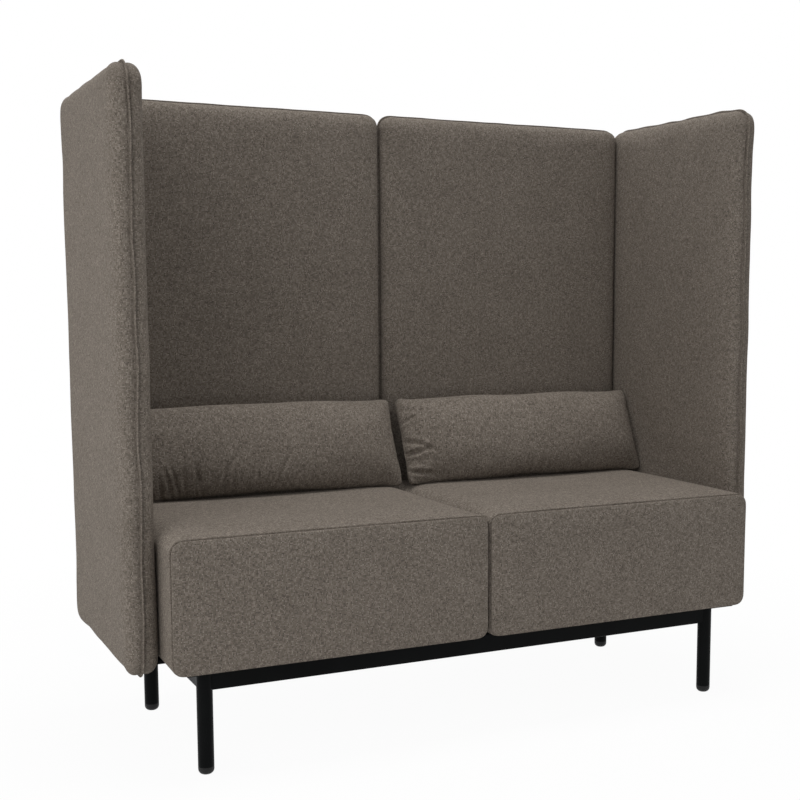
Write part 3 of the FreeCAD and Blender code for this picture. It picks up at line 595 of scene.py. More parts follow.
class Finishes:
    """The palette's materials, and the slot that each stands for."""

    def __init__(self, palette: Palette) -> None:
        """Build every material.

        Args:
            palette: The sofa's finishes.
        """
        shop = Workshop()
        self.thread = palette.thread.material(shop)
        self.by_slot: dict[Slot, bpy.types.Material] = {
            Slot.UPHOLSTERY: palette.upholstery.material(shop),
            Slot.FOAM: palette.foam.material(shop),
            Slot.TIMBER: palette.timber.material(shop),
            Slot.WEBBING: palette.webbing.material(shop),
            Slot.BASE_CLOTH: palette.base_cloth.material(shop),
            Slot.BLACK_STEEL: palette.steel.material(shop),
            Slot.GLIDE_PLASTIC: palette.plastic.material(shop),
            Slot.ZINC_STEEL: palette.zinc.material(shop),
        }


def graded(length: float, fine: float, coarse: float, growth: float = 1.4) -> np.ndarray:
    """Cut a length finely at both ends and evenly between.

    Args:
        length: The whole length.
        fine: The step at the ends.
        coarse: The step in the middle.
        growth: How much each step may exceed the one before it.

    Returns:
        The places of the cuts, from 0 to the length.
    """
    cuts, step = [0.0], fine
    while cuts[-1] < length / 2:
        cuts.append(cuts[-1] + step)
        step = min(step * growth, coarse)
    half = np.array(cuts) * (length / 2 / cuts[-1])
    return np.concatenate([half, length - half[-2::-1]])


def smooth(value: np.ndarray, low: float, high: float) -> np.ndarray:
    """Rise from 0 at low to 1 at high without a corner."""
    share = np.clip((value - low) / (high - low), 0.0, 1.0)
    return share * share * (3.0 - 2.0 * share)


def ripple(first: np.ndarray, second: np.ndarray, wave: float, seed: float) -> np.ndarray:
    """Read smooth random waves over a surface.

    Args:
        first: The places along one direction.
        second: The places along the other.
        wave: The length of a wave.
        seed: The number that sets these waves apart.

    Returns:
        Values from about -1 to 1, in the shape of the places.
    """
    pairs = zip(np.ravel(first) / wave, np.ravel(second) / wave)
    values = [noise.noise((x, y, seed * RIPPLE_APART)) for x, y in pairs]
    return np.array(values).reshape(np.shape(first)) * RIPPLE_GAIN


def rows(*parts: np.ndarray) -> np.ndarray:
    """Flatten grids of one shape into one row for each place."""
    return np.stack([np.ravel(part) for part in parts], axis=1)


def grid_squares(shape: tuple[int, int]) -> np.ndarray:
    """Number the squares of a grid.

    Args:
        shape: How many vertices there are along each direction.

    Returns:
        One row of four vertex numbers for each square.
    """
    number = np.arange(shape[0] * shape[1]).reshape(shape)
    corners = [number[:-1, :-1], number[1:, :-1], number[1:, 1:], number[:-1, 1:]]
    return np.stack(corners, axis=-1).reshape(-1, 4)


@dataclass(frozen=True)
class Roll:
    """The edge of a cover: it rises straight from its seam for a while, then rounds over to the face."""

    inset: float
    rise: float
    straight: float = 0.0

    @property
    def bend(self) -> float:
        """The length of cloth in the rounded part."""
        return math.pi / 4.0 * (self.inset + self.rise - self.straight)

    @property
    def cloth(self) -> float:
        """The length of cloth that goes round the edge."""
        return self.straight + self.bend

    def at(self, run: np.ndarray) -> tuple[np.ndarray, np.ndarray]:
        """Follow the edge from the seam.

        Args:
            run: Lengths of cloth from the seam.

        Returns:
            How far in and how far up each place is.
        """
        angle = np.clip((run - self.straight) / self.bend, 0.0, 1.0) * math.pi / 2.0
        inset = self.inset * (1.0 - np.cos(angle)) + np.maximum(run - self.cloth, 0.0)
        return inset, np.minimum(run, self.straight) + (self.rise - self.straight) * np.sin(angle)


class FaceGrid:
    """One face of a cover as cut cloth, with the shape its corners and edges take."""

    def __init__(
        self, width: float, height: float, corner: float, roll: Roll, fine: float, coarse: float
    ) -> None:
        """Lay out the face.

        Args:
            width: The face's width between its seams.
            height: The face's height between its seams.
            corner: The radius of its corners.
            roll: The edge next to the seams.
            fine: The mesh's step at the seams.
            coarse: The mesh's step in the middle.
        """
        spare = roll.cloth - roll.inset
        cut_width, cut_height = width + 2 * spare, height + 2 * spare
        bend = corner + spare
        self.u, self.v = np.meshgrid(
            graded(cut_width, fine, coarse), graded(cut_height, fine, coarse), indexing="ij"
        )
        side_u = np.where(self.u < cut_width / 2, -1.0, 1.0)
        side_v = np.where(self.v < cut_height / 2, -1.0, 1.0)
        run_u = np.minimum(self.u, cut_width - self.u)
        run_v = np.minimum(self.v, cut_height - self.v)
        across, up = width / 2 - roll.at(run_u)[0], height / 2 - roll.at(run_v)[0]
        run = np.minimum(run_u, run_v)
        out_a, out_b = np.where(run_u <= run_v, 1.0, 0.0), np.where(run_u <= run_v, 0.0, 1.0)
        turn = (run_u < bend) & (run_v < bend)
        far_a, far_b = np.where(turn, bend - run_u, 1.0), np.where(turn, bend - run_v, 1.0)
        reach = np.hypot(far_a, far_b)
        run = np.where(turn, bend - np.maximum(far_a, far_b), run)
        radius = corner - roll.at(run)[0]
        out_a, out_b = np.where(turn, far_a / reach, out_a), np.where(turn, far_b / reach, out_b)
        self.a = side_u * np.where(turn, width / 2 - corner + radius * out_a, across)
        self.b = side_v * np.where(turn, height / 2 - corner + radius * out_b, up)
        self.out_a, self.out_b = side_u * out_a, side_v * out_b
        self.run, self.rise = run, roll.at(run)[1]
        self.width, self.height = width, height

    def rim(self) -> np.ndarray:
        """The rim's vertices in order round the face, as places in the flattened grid."""
        number = np.arange(self.u.size).reshape(self.u.shape)
        return np.concatenate([number[:-1, 0], number[-1, :-1], number[:0:-1, -1], number[0, :0:-1]])

    def bulge(self, sharpness: float) -> np.ndarray:
        """How full the face is: 1 in the middle and 0 at its seams."""
        wide = 1.0 - np.abs(2 * self.a / self.width) ** sharpness
        high = 1.0 - np.abs(2 * self.b / self.height) ** sharpness
        return np.clip(wide, 0.0, 1.0) * np.clip(high, 0.0, 1.0)


@dataclass(frozen=True)
class Inflation:
    """Swells a sewn cover by cloth simulation, and keeps each point near where it began."""

    pressure: float
    frames: int
    reach: float
    stiffness: float
    bending: float
    quality: int = 5
    mass: float = 0.25
    damping: float = 4.0

    def run(self, piece: bpy.types.Object, held: np.ndarray, drawn: np.ndarray | None = None) -> None:
        """Simulate, then write the swollen shape into the piece's own mesh.

        Args:
            piece: The sewn cover.
            held: How firmly each vertex is kept in place, from 0 to 1.
            drawn: Places that the held vertices are drawn to in the first half, or none.
        """
        if drawn is not None:
            piece.shape_key_add(name="cut")
            key = piece.shape_key_add(name="drawn_in")
            key.data.foreach_set("co", np.ravel(drawn))
            for value, step in ((0.0, 1), (1.0, self.frames // 2)):
                key.value = value
                key.keyframe_insert("value", frame=step)
        group = piece.vertex_groups.new(name="held")
        for index in np.flatnonzero(held > 0.0):
            group.add([int(index)], float(held[index]), "REPLACE")
        cloth = piece.modifiers.new("swell", "CLOTH")
        cloth.settings.quality = self.quality
        cloth.settings.mass = self.mass
        cloth.settings.tension_stiffness = self.stiffness
        cloth.settings.compression_stiffness = self.stiffness
        cloth.settings.shear_stiffness = self.stiffness / 3
        cloth.settings.bending_stiffness = self.bending
        cloth.settings.air_damping = self.damping
        cloth.settings.use_pressure = True
        cloth.settings.uniform_pressure_force = self.pressure
        cloth.settings.effector_weights.gravity = 0.0
        cloth.settings.vertex_group_mass = group.name
        cloth.collision_settings.use_collision = False
        cloth.point_cache.frame_end = self.frames
        scene = bpy.context.scene
        for step in range(1, self.frames + 1):
            scene.frame_set(step)
        made = piece.evaluated_get(bpy.context.evaluated_depsgraph_get()).to_mesh()
        after, before = vertex_places(made), vertex_places(piece.data)
        piece.evaluated_get(bpy.context.evaluated_depsgraph_get()).to_mesh_clear()
        piece.modifiers.remove(cloth)
        piece.vertex_groups.remove(group)
        if drawn is not None:
            piece.data.shape_keys.animation_data_clear()
            piece.shape_key_clear()
        scene.frame_set(1)
        move = after - before
        far = np.linalg.norm(move, axis=1, keepdims=True)
        kept = self.reach * np.tanh(far / self.reach) / np.maximum(far, 1e-9)
        place_vertices(piece.data, before + move * kept)
        LOG.info("%s swelled by up to %.1f mm", piece.name, 1000.0 * float((far * kept).max()))


def vertex_places(mesh: bpy.types.Mesh) -> np.ndarray:
    """Every vertex's place, one row each."""
    flat = np.zeros(len(mesh.vertices) * 3)
    mesh.vertices.foreach_get("co", flat)
    return flat.reshape(-1, 3)


def place_vertices(mesh: bpy.types.Mesh, places: np.ndarray) -> None:
    """Move every vertex to its row's place."""
    mesh.vertices.foreach_set("co", np.ravel(places))
    mesh.update()


@dataclass(frozen=True)
class Stand:
    """Where a cover's own directions lie in the frame."""

    origin: Vector
    across: Vector
    up: Vector
    deep: Vector

    def to_frame(self, places: np.ndarray) -> np.ndarray:
        """Turn rows of across, up and deep into rows of the frame's directions."""
        axes = np.array([self.across, self.up, self.deep])
        return places @ axes + np.array(self.origin)


class SewnCover:
    """A closed cover of two faces, with rings of cloth between their rims."""

    far_patch: tuple[float, float] = (1.7, 0.0)
    strip_patch: tuple[float, float] = (0.0, 1.9)
    patch_shift: tuple[float, float] = (0.377, 0.613)

    def __init__(self, name: str, grid: FaceGrid, near: np.ndarray, far: np.ndarray, seed: int) -> None:
        """Keep the two faces.

        Args:
            name: The piece's name.
            grid: The layout that both faces share.
            near: The near face's places, in rows of across, up and deep.
            far: The far face's places, in the same order.
            seed: The number that shifts the weave on this piece.
        """
        self.name, self.grid, self.seed = name, grid, seed
        self.near, self.far = near, far
        self.rings: list[np.ndarray] = []
        self.rim = grid.rim()
        self.out = rows(grid.out_a, grid.out_b, np.zeros_like(grid.u))[self.rim]

    def ring(self, out: float, deep: np.ndarray, base: np.ndarray) -> None:
        """Add a ring beside the rim.

        Args:
            out: How far outside the base the ring is.
            deep: Its depth, one for all or one for each rim vertex.
            base: The places that it follows.
        """
        places = base + self.out * out
        places[:, 2] = deep
        self.rings.append(places)

    def build(self, stand: Stand) -> bpy.types.Object:
        """Sew the mesh together, with the cloth's own lengths as its UV map.

        Args:
            stand: Where the cover's directions lie in the frame.

        Returns:
            The new piece, at the origin with its place in its mesh.
        """
        count, size = len(self.rim), self.grid.u.size
        quads = grid_squares(self.grid.u.shape)
        cut = rows(self.grid.u, self.grid.v)
        faces = [quads, quads[:, ::-1] + size]
        cloth = [cut[quads], cut[quads[:, ::-1]] + self.far_patch]
        loops = [self.rim] + [2 * size + k * count + np.arange(count) for k in range(len(self.rings))]
        loops.append(self.rim + size)
        lines = [self.near[self.rim], *self.rings, self.far[self.rim]]
        edge = np.linalg.norm(np.roll(lines[0], -1, axis=0) - lines[0], axis=1)
        start = np.concatenate([[0.0], np.cumsum(edge)])
        depth = 0.0
        for k in range(len(loops) - 1):
            first, second = loops[k], loops[k + 1]
            step = float(np.linalg.norm(lines[k + 1] - lines[k], axis=1).mean())
            faces.append(np.stack([first, second, np.roll(second, -1), np.roll(first, -1)], axis=1))
            low, high = np.full(count, depth), np.full(count, depth + step)
            corners = [(start[:-1], low), (start[:-1], high), (start[1:], high), (start[1:], low)]
            cloth.append(np.stack([rows(*pair) for pair in corners], axis=1) + self.strip_patch)
            depth += step
        places = np.concatenate([self.near, self.far, *self.rings])
        mesh = bpy.data.meshes.new(self.name)
        mesh.from_pydata(stand.to_frame(places).tolist(), [], np.concatenate(faces).tolist())
        layer = mesh.uv_layers.new(name=CLOTH_UV)
        shift = self.seed * np.array(self.patch_shift)
        layer.data.foreach_set("uv", np.ravel(np.concatenate(cloth) + shift))
        draft = bmesh.new()
        draft.from_mesh(mesh)
        bmesh.ops.recalc_face_normals(draft, faces=draft.faces)
        draft.to_mesh(mesh)
        draft.free()
        mesh.polygons.foreach_set("use_smooth", [True] * len(mesh.polygons))
        piece = bpy.data.objects.new(self.name, mesh)
        bpy.context.scene.collection.objects.link(piece)
        return piece

    def seam_hold(self, grip: float) -> np.ndarray:
        """How firmly each vertex is held: fully at seams and rings, fading over the grip's length."""
        face = np.clip(1.0 - self.grid.run.ravel() / grip, 0.0, 1.0) ** 2
        return np.concatenate([face, face, np.ones(len(self.rings) * len(self.rim))])


def finish_soft(
    piece: bpy.types.Object, finishes: Finishes, body: str, nodes: list[str]
) -> None:
    """Smooth and dress a padded piece, hang it on its body and hide the solids that it replaces.

    Args:
        piece: The piece.
        finishes: The sofa's materials.
        body: The body that carries it.
        nodes: The solids that it replaces.
    """
    fine = piece.modifiers.new("fine", "SUBSURF")
    fine.levels = fine.render_levels = 1
    piece.data.materials.append(finishes.by_slot[Slot.UPHOLSTERY])
    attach(piece, body)
    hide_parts(*nodes)
    LOG.info("%s: %d faces", piece.name, len(piece.data.polygons))


@dataclass
class SeatCushion:
    """One box seat: a front and a rear panel sewn to a boxing strip that wraps the foam."""

    side: Side
    finishes: Finishes
    corner: float = 0.024
    crown: float = 0.008
    front_bulge: float = 0.004
    draw_in: float = 0.0014
    seam_tuck: float = 0.0045
    press: float = 0.0022
    edge: Roll = Roll(0.0045, 0.0045)
    fine: float = 0.0022
    face_step: float = 0.012
    strip_step: float = 0.013
    rear_share: float = 0.3
    unevenness: float = 0.0006
    uneven_wave: float = 0.09
    draw_reach: float = 0.006
    crown_across: float = 2.2
    crown_along: int = 5
    crown_edge: float = 0.02
    crown_dip: float = 0.12
    crown_wave: float = 0.16
    seam_grip: float = 0.012
    held_rings: float = 5.0
    floor_clear: float = 0.0004

    def build(self) -> bpy.types.Object:
        """Make the cushion's mesh.

        Returns:
            The dressed cushion.
        """
        low, high = (corner.copy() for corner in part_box(f"{self.side.value}_seat_cover"))
        if self.side is Side.LEFT:
            high.x += self.press
        else:
            low.x -= self.press
        middle, size = (low + high) / 2, high - low
        deep = size.y - 2 * self.front_bulge
        wide, tall = size.x - 2 * self.draw_in, size.z - self.crown - self.draw_in
        grid = FaceGrid(wide, tall, self.corner, self.edge, self.fine, self.face_step)
        bulge = self.front_bulge * grid.bulge(2.0)
        bulge = bulge + self.unevenness * ripple(grid.a, grid.b, self.uneven_wave, self.side.seed)
        front = -deep / 2 + self.edge.rise - grid.rise - bulge
        rear = deep / 2 - self.edge.rise + grid.rise + bulge * self.rear_share
        tuck = np.where(grid.run < AT_SEAM, self.seam_tuck, 0.0)
        a, b = grid.a - grid.out_a * tuck, grid.b - grid.out_b * tuck
        near, far = rows(a, b, front + tuck), rows(a, b, rear - tuck)
        cover = SewnCover(f"{self.side.value}_seat_cushion", grid, near, far, self.side.seed)
        outline = rows(grid.a, grid.b, np.zeros_like(grid.a))[cover.rim]
        strip = deep - 2 * self.edge.rise
        for run in graded(strip, self.fine, self.strip_step)[1:-1]:
            from_seam = min(run, strip - run)
            out = self.draw_in * float(smooth(np.array(from_seam), 0.0, self.draw_reach))
            cover.ring(out, np.array(run - strip / 2), outline)
        for places in (cover.near, cover.far, *cover.rings):
            places[:, 1] += self.top_crown(places, size, deep)
        origin = Vector((middle.x, middle.y, low.z + (size.z - self.crown) / 2))
        piece = cover.build(Stand(origin, ACROSS, UP, BACK))
        rings = len(cover.rings)
        face = np.clip(1.0 - grid.run.ravel() / self.seam_grip, 0.0, 1.0)
        ends = np.array([min(k, rings - 1 - k) for k in range(rings)])
        strip_hold = np.repeat(np.clip(1.0 - ends / self.held_rings, 0.0, 1.0), len(cover.rim))
        swelling = Inflation(pressure=2.5, frames=12, reach=0.0045, stiffness=30.0, bending=4.0)
        swelling.run(piece, np.concatenate([face, face, strip_hold]))
        lowest = np.array(low) + (0.0, 0.0, self.floor_clear)
        place_vertices(piece.data, np.clip(vertex_places(piece.data), lowest, np.array(high)))
        name = self.side.value
        finish_soft(piece, self.finishes, "sofa", [f"{name}_seat_cover", f"{name}_seat_foam"])
        return piece

    def top_crown(self, places: np.ndarray, size: Vector, deep: float) -> np.ndarray:
        """How far the foam lifts the top.

        Args:
            places: Rows of across, up and deep.
            size: The cushion's size.
            deep: The length of its boxing.

        Returns:
            The lift of each row.
        """
        wide = 1.0 - np.clip(np.abs(2 * places[:, 0] / size.x), 0.0, 1.0) ** self.crown_across
        long = 1.0 - np.clip(np.abs(2 * places[:, 2] / deep), 0.0, 1.0) ** self.crown_along
        high = smooth(places[:, 1], 0.0, size.z / 2 - self.crown_edge)
        waves = ripple(places[:, 0], places[:, 2], self.crown_wave, self.side.seed + 2)
        uneven = 1.0 + self.crown_dip * waves
        return self.crown * wide * long * high * np.minimum(uneven, 1.0)


@dataclass
class PaddedPanel:
    """One upright panel: two padded covers over a board, sewn together in a standing seam."""

    name: str
    nodes: list[str]
    finishes: Finishes
    faces_sideways: bool
    seed: int
    seam_stand: float
    corner: float
    wave: float
    press: tuple[float, float] = (0.0, 0.0)
    seam_half: float = 0.0016
    seam_tuck: float = 0.003
    crown: float = 0.0012
    pucker: float = 0.0006
    edge_inset: float = 0.017
    edge_straight: float = 0.011
    fine: float = 0.005
    face_step: float = 0.014
    wave_length: float = 0.055
    wave_reach: float = 0.02
    lean_share: float = 1.4
    lean_length: float = 0.11
    pucker_length: float = 0.021
    pucker_reach: float = 0.012
    pucker_start: float = 0.004
    crown_power: float = 6.0
    crown_gain: float = 1.4
    unevenness: float = 0.0007
    uneven_length: float = 0.17
    uneven_start: float = 0.05
    seam_grip: float = 0.014
    seam_line: tuple[tuple[float, float], ...] = (
        (0.35, -1.0),
        (0.92, -1.0),
        (1.0, -0.5),
        (1.0, 0.5),
        (0.92, 1.0),
        (0.35, 1.0),
    )
    stitch_share: float = 0.4
    thread_stand: float = 0.0002

    def build(self) -> bpy.types.Object:
        """Make the panel's mesh and its row of stitches.

        Returns:
            The dressed panel.
        """
        boxes = [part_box(node) for node in self.nodes if node.endswith("_cover")]
        low = Vector([min(box[0][axis] for box in boxes) for axis in range(3)])
        high = Vector([max(box[1][axis] for box in boxes) for axis in range(3)])
        low.x, high.x = low.x - self.press[0], high.x + self.press[1]
        middle, size = (low + high) / 2, high - low
        width, thick = (size.y, size.x) if self.faces_sideways else (size.x, size.y)
        roll = Roll(self.edge_inset, thick / 2 - self.seam_half - self.crown, self.edge_straight)
        wide, tall = width - 2 * self.seam_stand, size.z - 2 * self.seam_stand
        grid = FaceGrid(wide, tall, self.corner, roll, self.fine, self.face_step)
        fade, near_seam = np.exp(-grid.run / self.wave_reach), np.exp(-grid.run / self.pucker_reach)
        sway = self.wave * (ripple(grid.a, grid.b, self.wave_length, self.seed) - 1.0) * fade
        slow = ripple(grid.a, grid.b, self.lean_length, self.seed + 5)
        lean = self.lean_share * self.wave * slow * fade
        gather = self.pucker * ripple(grid.a, grid.b, self.pucker_length, self.seed + 9) * near_seam
        swell = self.crown * np.clip(grid.bulge(self.crown_power) * self.crown_gain, 0.0, 1.0)
        uneven = self.unevenness * ripple(grid.a, grid.b, self.uneven_length, self.seed + 1)
        uneven = uneven * np.clip(grid.run / self.uneven_start, 0.0, 1.0)
        tuck = np.where(grid.run < AT_SEAM, self.seam_tuck, 0.0)
        a, b = grid.a + grid.out_a * (sway - tuck), grid.b + grid.out_b * (sway - tuck)
        gather = np.minimum(gather, 0.0) * np.clip(grid.run / self.pucker_start, 0, 1)
        lift = self.seam_half + grid.rise + swell - self.unevenness + gather
        near, far = rows(a, b, lean - lift - uneven), rows(a, b, lean + lift + uneven)
        cover = SewnCover(self.name, grid, near, far, self.seed)
        base, tilt = near[cover.rim] + cover.out * self.seam_tuck, lean.ravel()[cover.rim]
        for out, share in self.seam_line:
            cover.ring(out * self.seam_stand, tilt + share * self.seam_half, base)
        across, deep = (BACK, ACROSS) if self.faces_sideways else (ACROSS, BACK)
        stand = Stand(middle, across, UP, deep)
        piece = cover.build(stand)
        swelling = Inflation(pressure=2.0, frames=12, reach=0.003, stiffness=30.0, bending=5.0)
        swelling.run(piece, cover.seam_hold(self.seam_grip))
        finish_soft(piece, self.finishes, "sofa", self.nodes)
        for face, sign in (("near", -1.0), ("far", 1.0)):
            row = base + cover.out * self.stitch_share * self.seam_stand
            row[:, 2] = tilt + sign * (self.seam_half + self.thread_stand)
            StitchRow(f"{self.name}_{face}_stitches", stand.to_frame(row), self.finishes).build()
        return piece


@dataclass
class StitchRow:
    """A closed row of stitches along a seam."""

    name: str
    path: np.ndarray
    finishes: Finishes
    pitch: float = 0.0055
    length: float = 0.0038
    thickness: float = 0.0008

    def build(self) -> bpy.types.Object:
        """Lay the stitches along the path.

        Returns:
            The dressed row.
        """
        count = len(self.path)
        mesh = bpy.data.meshes.new(self.name)
        mesh.from_pydata(self.path.tolist(), [(k, (k + 1) % count) for k in range(count)], [])
        sizes = {"Pitch": self.pitch, "Length": self.length, "Thickness": self.thickness}
        piece = RowAlongPath.shared().lay(self.name, mesh, sizes, self.finishes.thread)
        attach(piece, "sofa")
        return piece


class RowAlongPath:
    """Geometry Nodes that repeat one small rounded piece along a path."""

    looseness: float = 0.12
    made: "RowAlongPath | None" = None

    @classmethod
    def shared(cls) -> "RowAlongPath":
        """The one tree that every row uses."""
        cls.made = cls.made or cls()
        return cls.made

    def __init__(self) -> None:
        """Build the tree and its named inputs."""
        self.tree = bpy.data.node_groups.new("row_along_path", "GeometryNodeTree")
        face = self.tree.interface
        face.new_socket("Geometry", in_out="INPUT", socket_type="NodeSocketGeometry")
        for name, value in (("Pitch", 0.005), ("Length", 0.004), ("Thickness", 0.001)):
            face.new_socket(name, in_out="INPUT", socket_type="NodeSocketFloat").default_value = value
        face.new_socket("Seed", in_out="INPUT", socket_type="NodeSocketInt").default_value = 4
        face.new_socket("Material", in_out="INPUT", socket_type="NodeSocketMaterial")
        face.new_socket("Geometry", in_out="OUTPUT", socket_type="NodeSocketGeometry")
        w = Wiring(self.tree)
        given = w.add("NodeGroupInput", {}).outputs
        path = w.add("GeometryNodeMeshToCurve", {}, Mesh=given["Geometry"])
        points = w.add("GeometryNodeCurveToPoints", {"mode": "LENGTH"}, Curve=path.outputs[0])
        w.feed(points.inputs["Length"], given["Pitch"])
        shape = w.add("GeometryNodeMeshIcoSphere", {}, Radius=0.5, Subdivisions=1)
        thick = given["Thickness"]
        size = w.add("ShaderNodeCombineXYZ", {}, X=thick, Y=thick, Z=given["Length"])
        loose = w.add("FunctionNodeRandomValue", {"data_type": "FLOAT"}, Seed=given["Seed"])
        loose.inputs[2].default_value, loose.inputs[3].default_value = -self.looseness, self.looseness
        sway = w.add("ShaderNodeCombineXYZ", {}, X=loose.outputs[1])
        turned = w.add("FunctionNodeRotateRotation", {"rotation_space": "LOCAL"})
        w.feed(turned.inputs["Rotation"], points.outputs["Rotation"])
        w.feed(turned.inputs["Rotate By"], sway.outputs[0])
        laid = w.add("GeometryNodeInstanceOnPoints", {}, Points=points.outputs[0])
        w.feed(laid.inputs["Instance"], shape.outputs[0])
        w.feed(laid.inputs["Rotation"], turned.outputs[0])
        w.feed(laid.inputs["Scale"], size.outputs[0])
        real = w.add("GeometryNodeRealizeInstances", {}, Geometry=laid.outputs[0])
        dressed = w.add("GeometryNodeSetMaterial", {}, Geometry=real.outputs[0], Material=given["Material"])
        w.add("NodeGroupOutput", {}, Geometry=dressed.outputs[0])

    def lay(
        self, name: str, path: bpy.types.Mesh, sizes: dict[str, float], material: bpy.types.Material
    ) -> bpy.types.Object:
        """Repeat the piece along a path and keep the result as a plain mesh.

        Args:
            name: The new piece's name.
            path: A mesh of edges to follow.
            sizes: Values by the tree's input names.
            material: The finish of the pieces.

        Returns:
            The new piece.
        """
        guide = bpy.data.objects.new(f"{name}_path", path)
        bpy.context.scene.collection.objects.link(guide)
        modifier = guide.modifiers.new("row", "NODES")
        modifier.node_group = self.tree
        sockets = [item for item in self.tree.interface.items_tree if item.in_out == "INPUT"]
        keys = {item.name: item.identifier for item in sockets}
        for key, value in {**sizes, "Material": material}.items():
            modifier[keys[key]] = value
        graph = bpy.context.evaluated_depsgraph_get()
        mesh = bpy.data.meshes.new_from_object(guide.evaluated_get(graph))
        mesh.name = name
        bpy.data.objects.remove(guide)
        mesh.polygons.foreach_set("use_smooth", [True] * len(mesh.polygons))
        piece = bpy.data.objects.new(name, mesh)
        bpy.context.scene.collection.objects.link(piece)
        LOG.info("%s: %d faces", name, len(mesh.polygons))
        return piece


@dataclass(frozen=True)
class Gathers:
    """Short folds that run in from a stretch of seam, where more cloth was sewn to it than it needs."""

    first: tuple[float, float]
    last: tuple[float, float]
    inward: tuple[float, float]
    spacing: float
    length: float
    width: float
    depth: float
    slant: float = 0.09
    spots: tuple[float, float] = (0.15, 0.85)
    lengths: tuple[float, float] = (0.55, 1.15)
    depths: tuple[float, float] = (0.35, 1.15)

    def relief(self, a: np.ndarray, b: np.ndarray, seed: int) -> np.ndarray:
        """How far the folds lift or sink the cloth.

        Args:
            a: Places across the face.
            b: Places up the face.
            seed: The number that sets how the folds differ.

        Returns:
            The lift of each place.
        """
        pick = np.random.default_rng(seed)
        first, last = np.array(self.first), np.array(self.last)
        count = max(2, round(float(np.linalg.norm(last - first)) / self.spacing))
        lift = np.zeros_like(a)
        for share in (np.arange(count) + pick.uniform(*self.spots, count)) / count:
            start = first + share * (last - first)
            slant = pick.normal(0.0, self.slant)
            reach = self.length * pick.uniform(*self.lengths)
            size = self.depth * pick.uniform(*self.depths)
            along = (a - start[0]) * self.inward[0] + (b - start[1]) * self.inward[1]
            aside = (b - start[1]) * self.inward[0] - (a - start[0]) * self.inward[1]
            aside = (aside - slant * along - 3.0 * slant * along**2 / self.length) / self.width
            fade = smooth(along, 0.0, 0.25 * reach) * (1.0 - smooth(along, 0.45 * reach, reach))
            lift = lift - size * fade * (1.0 - 1.6 * aside**2) * np.exp(-(aside**2))
        return lift


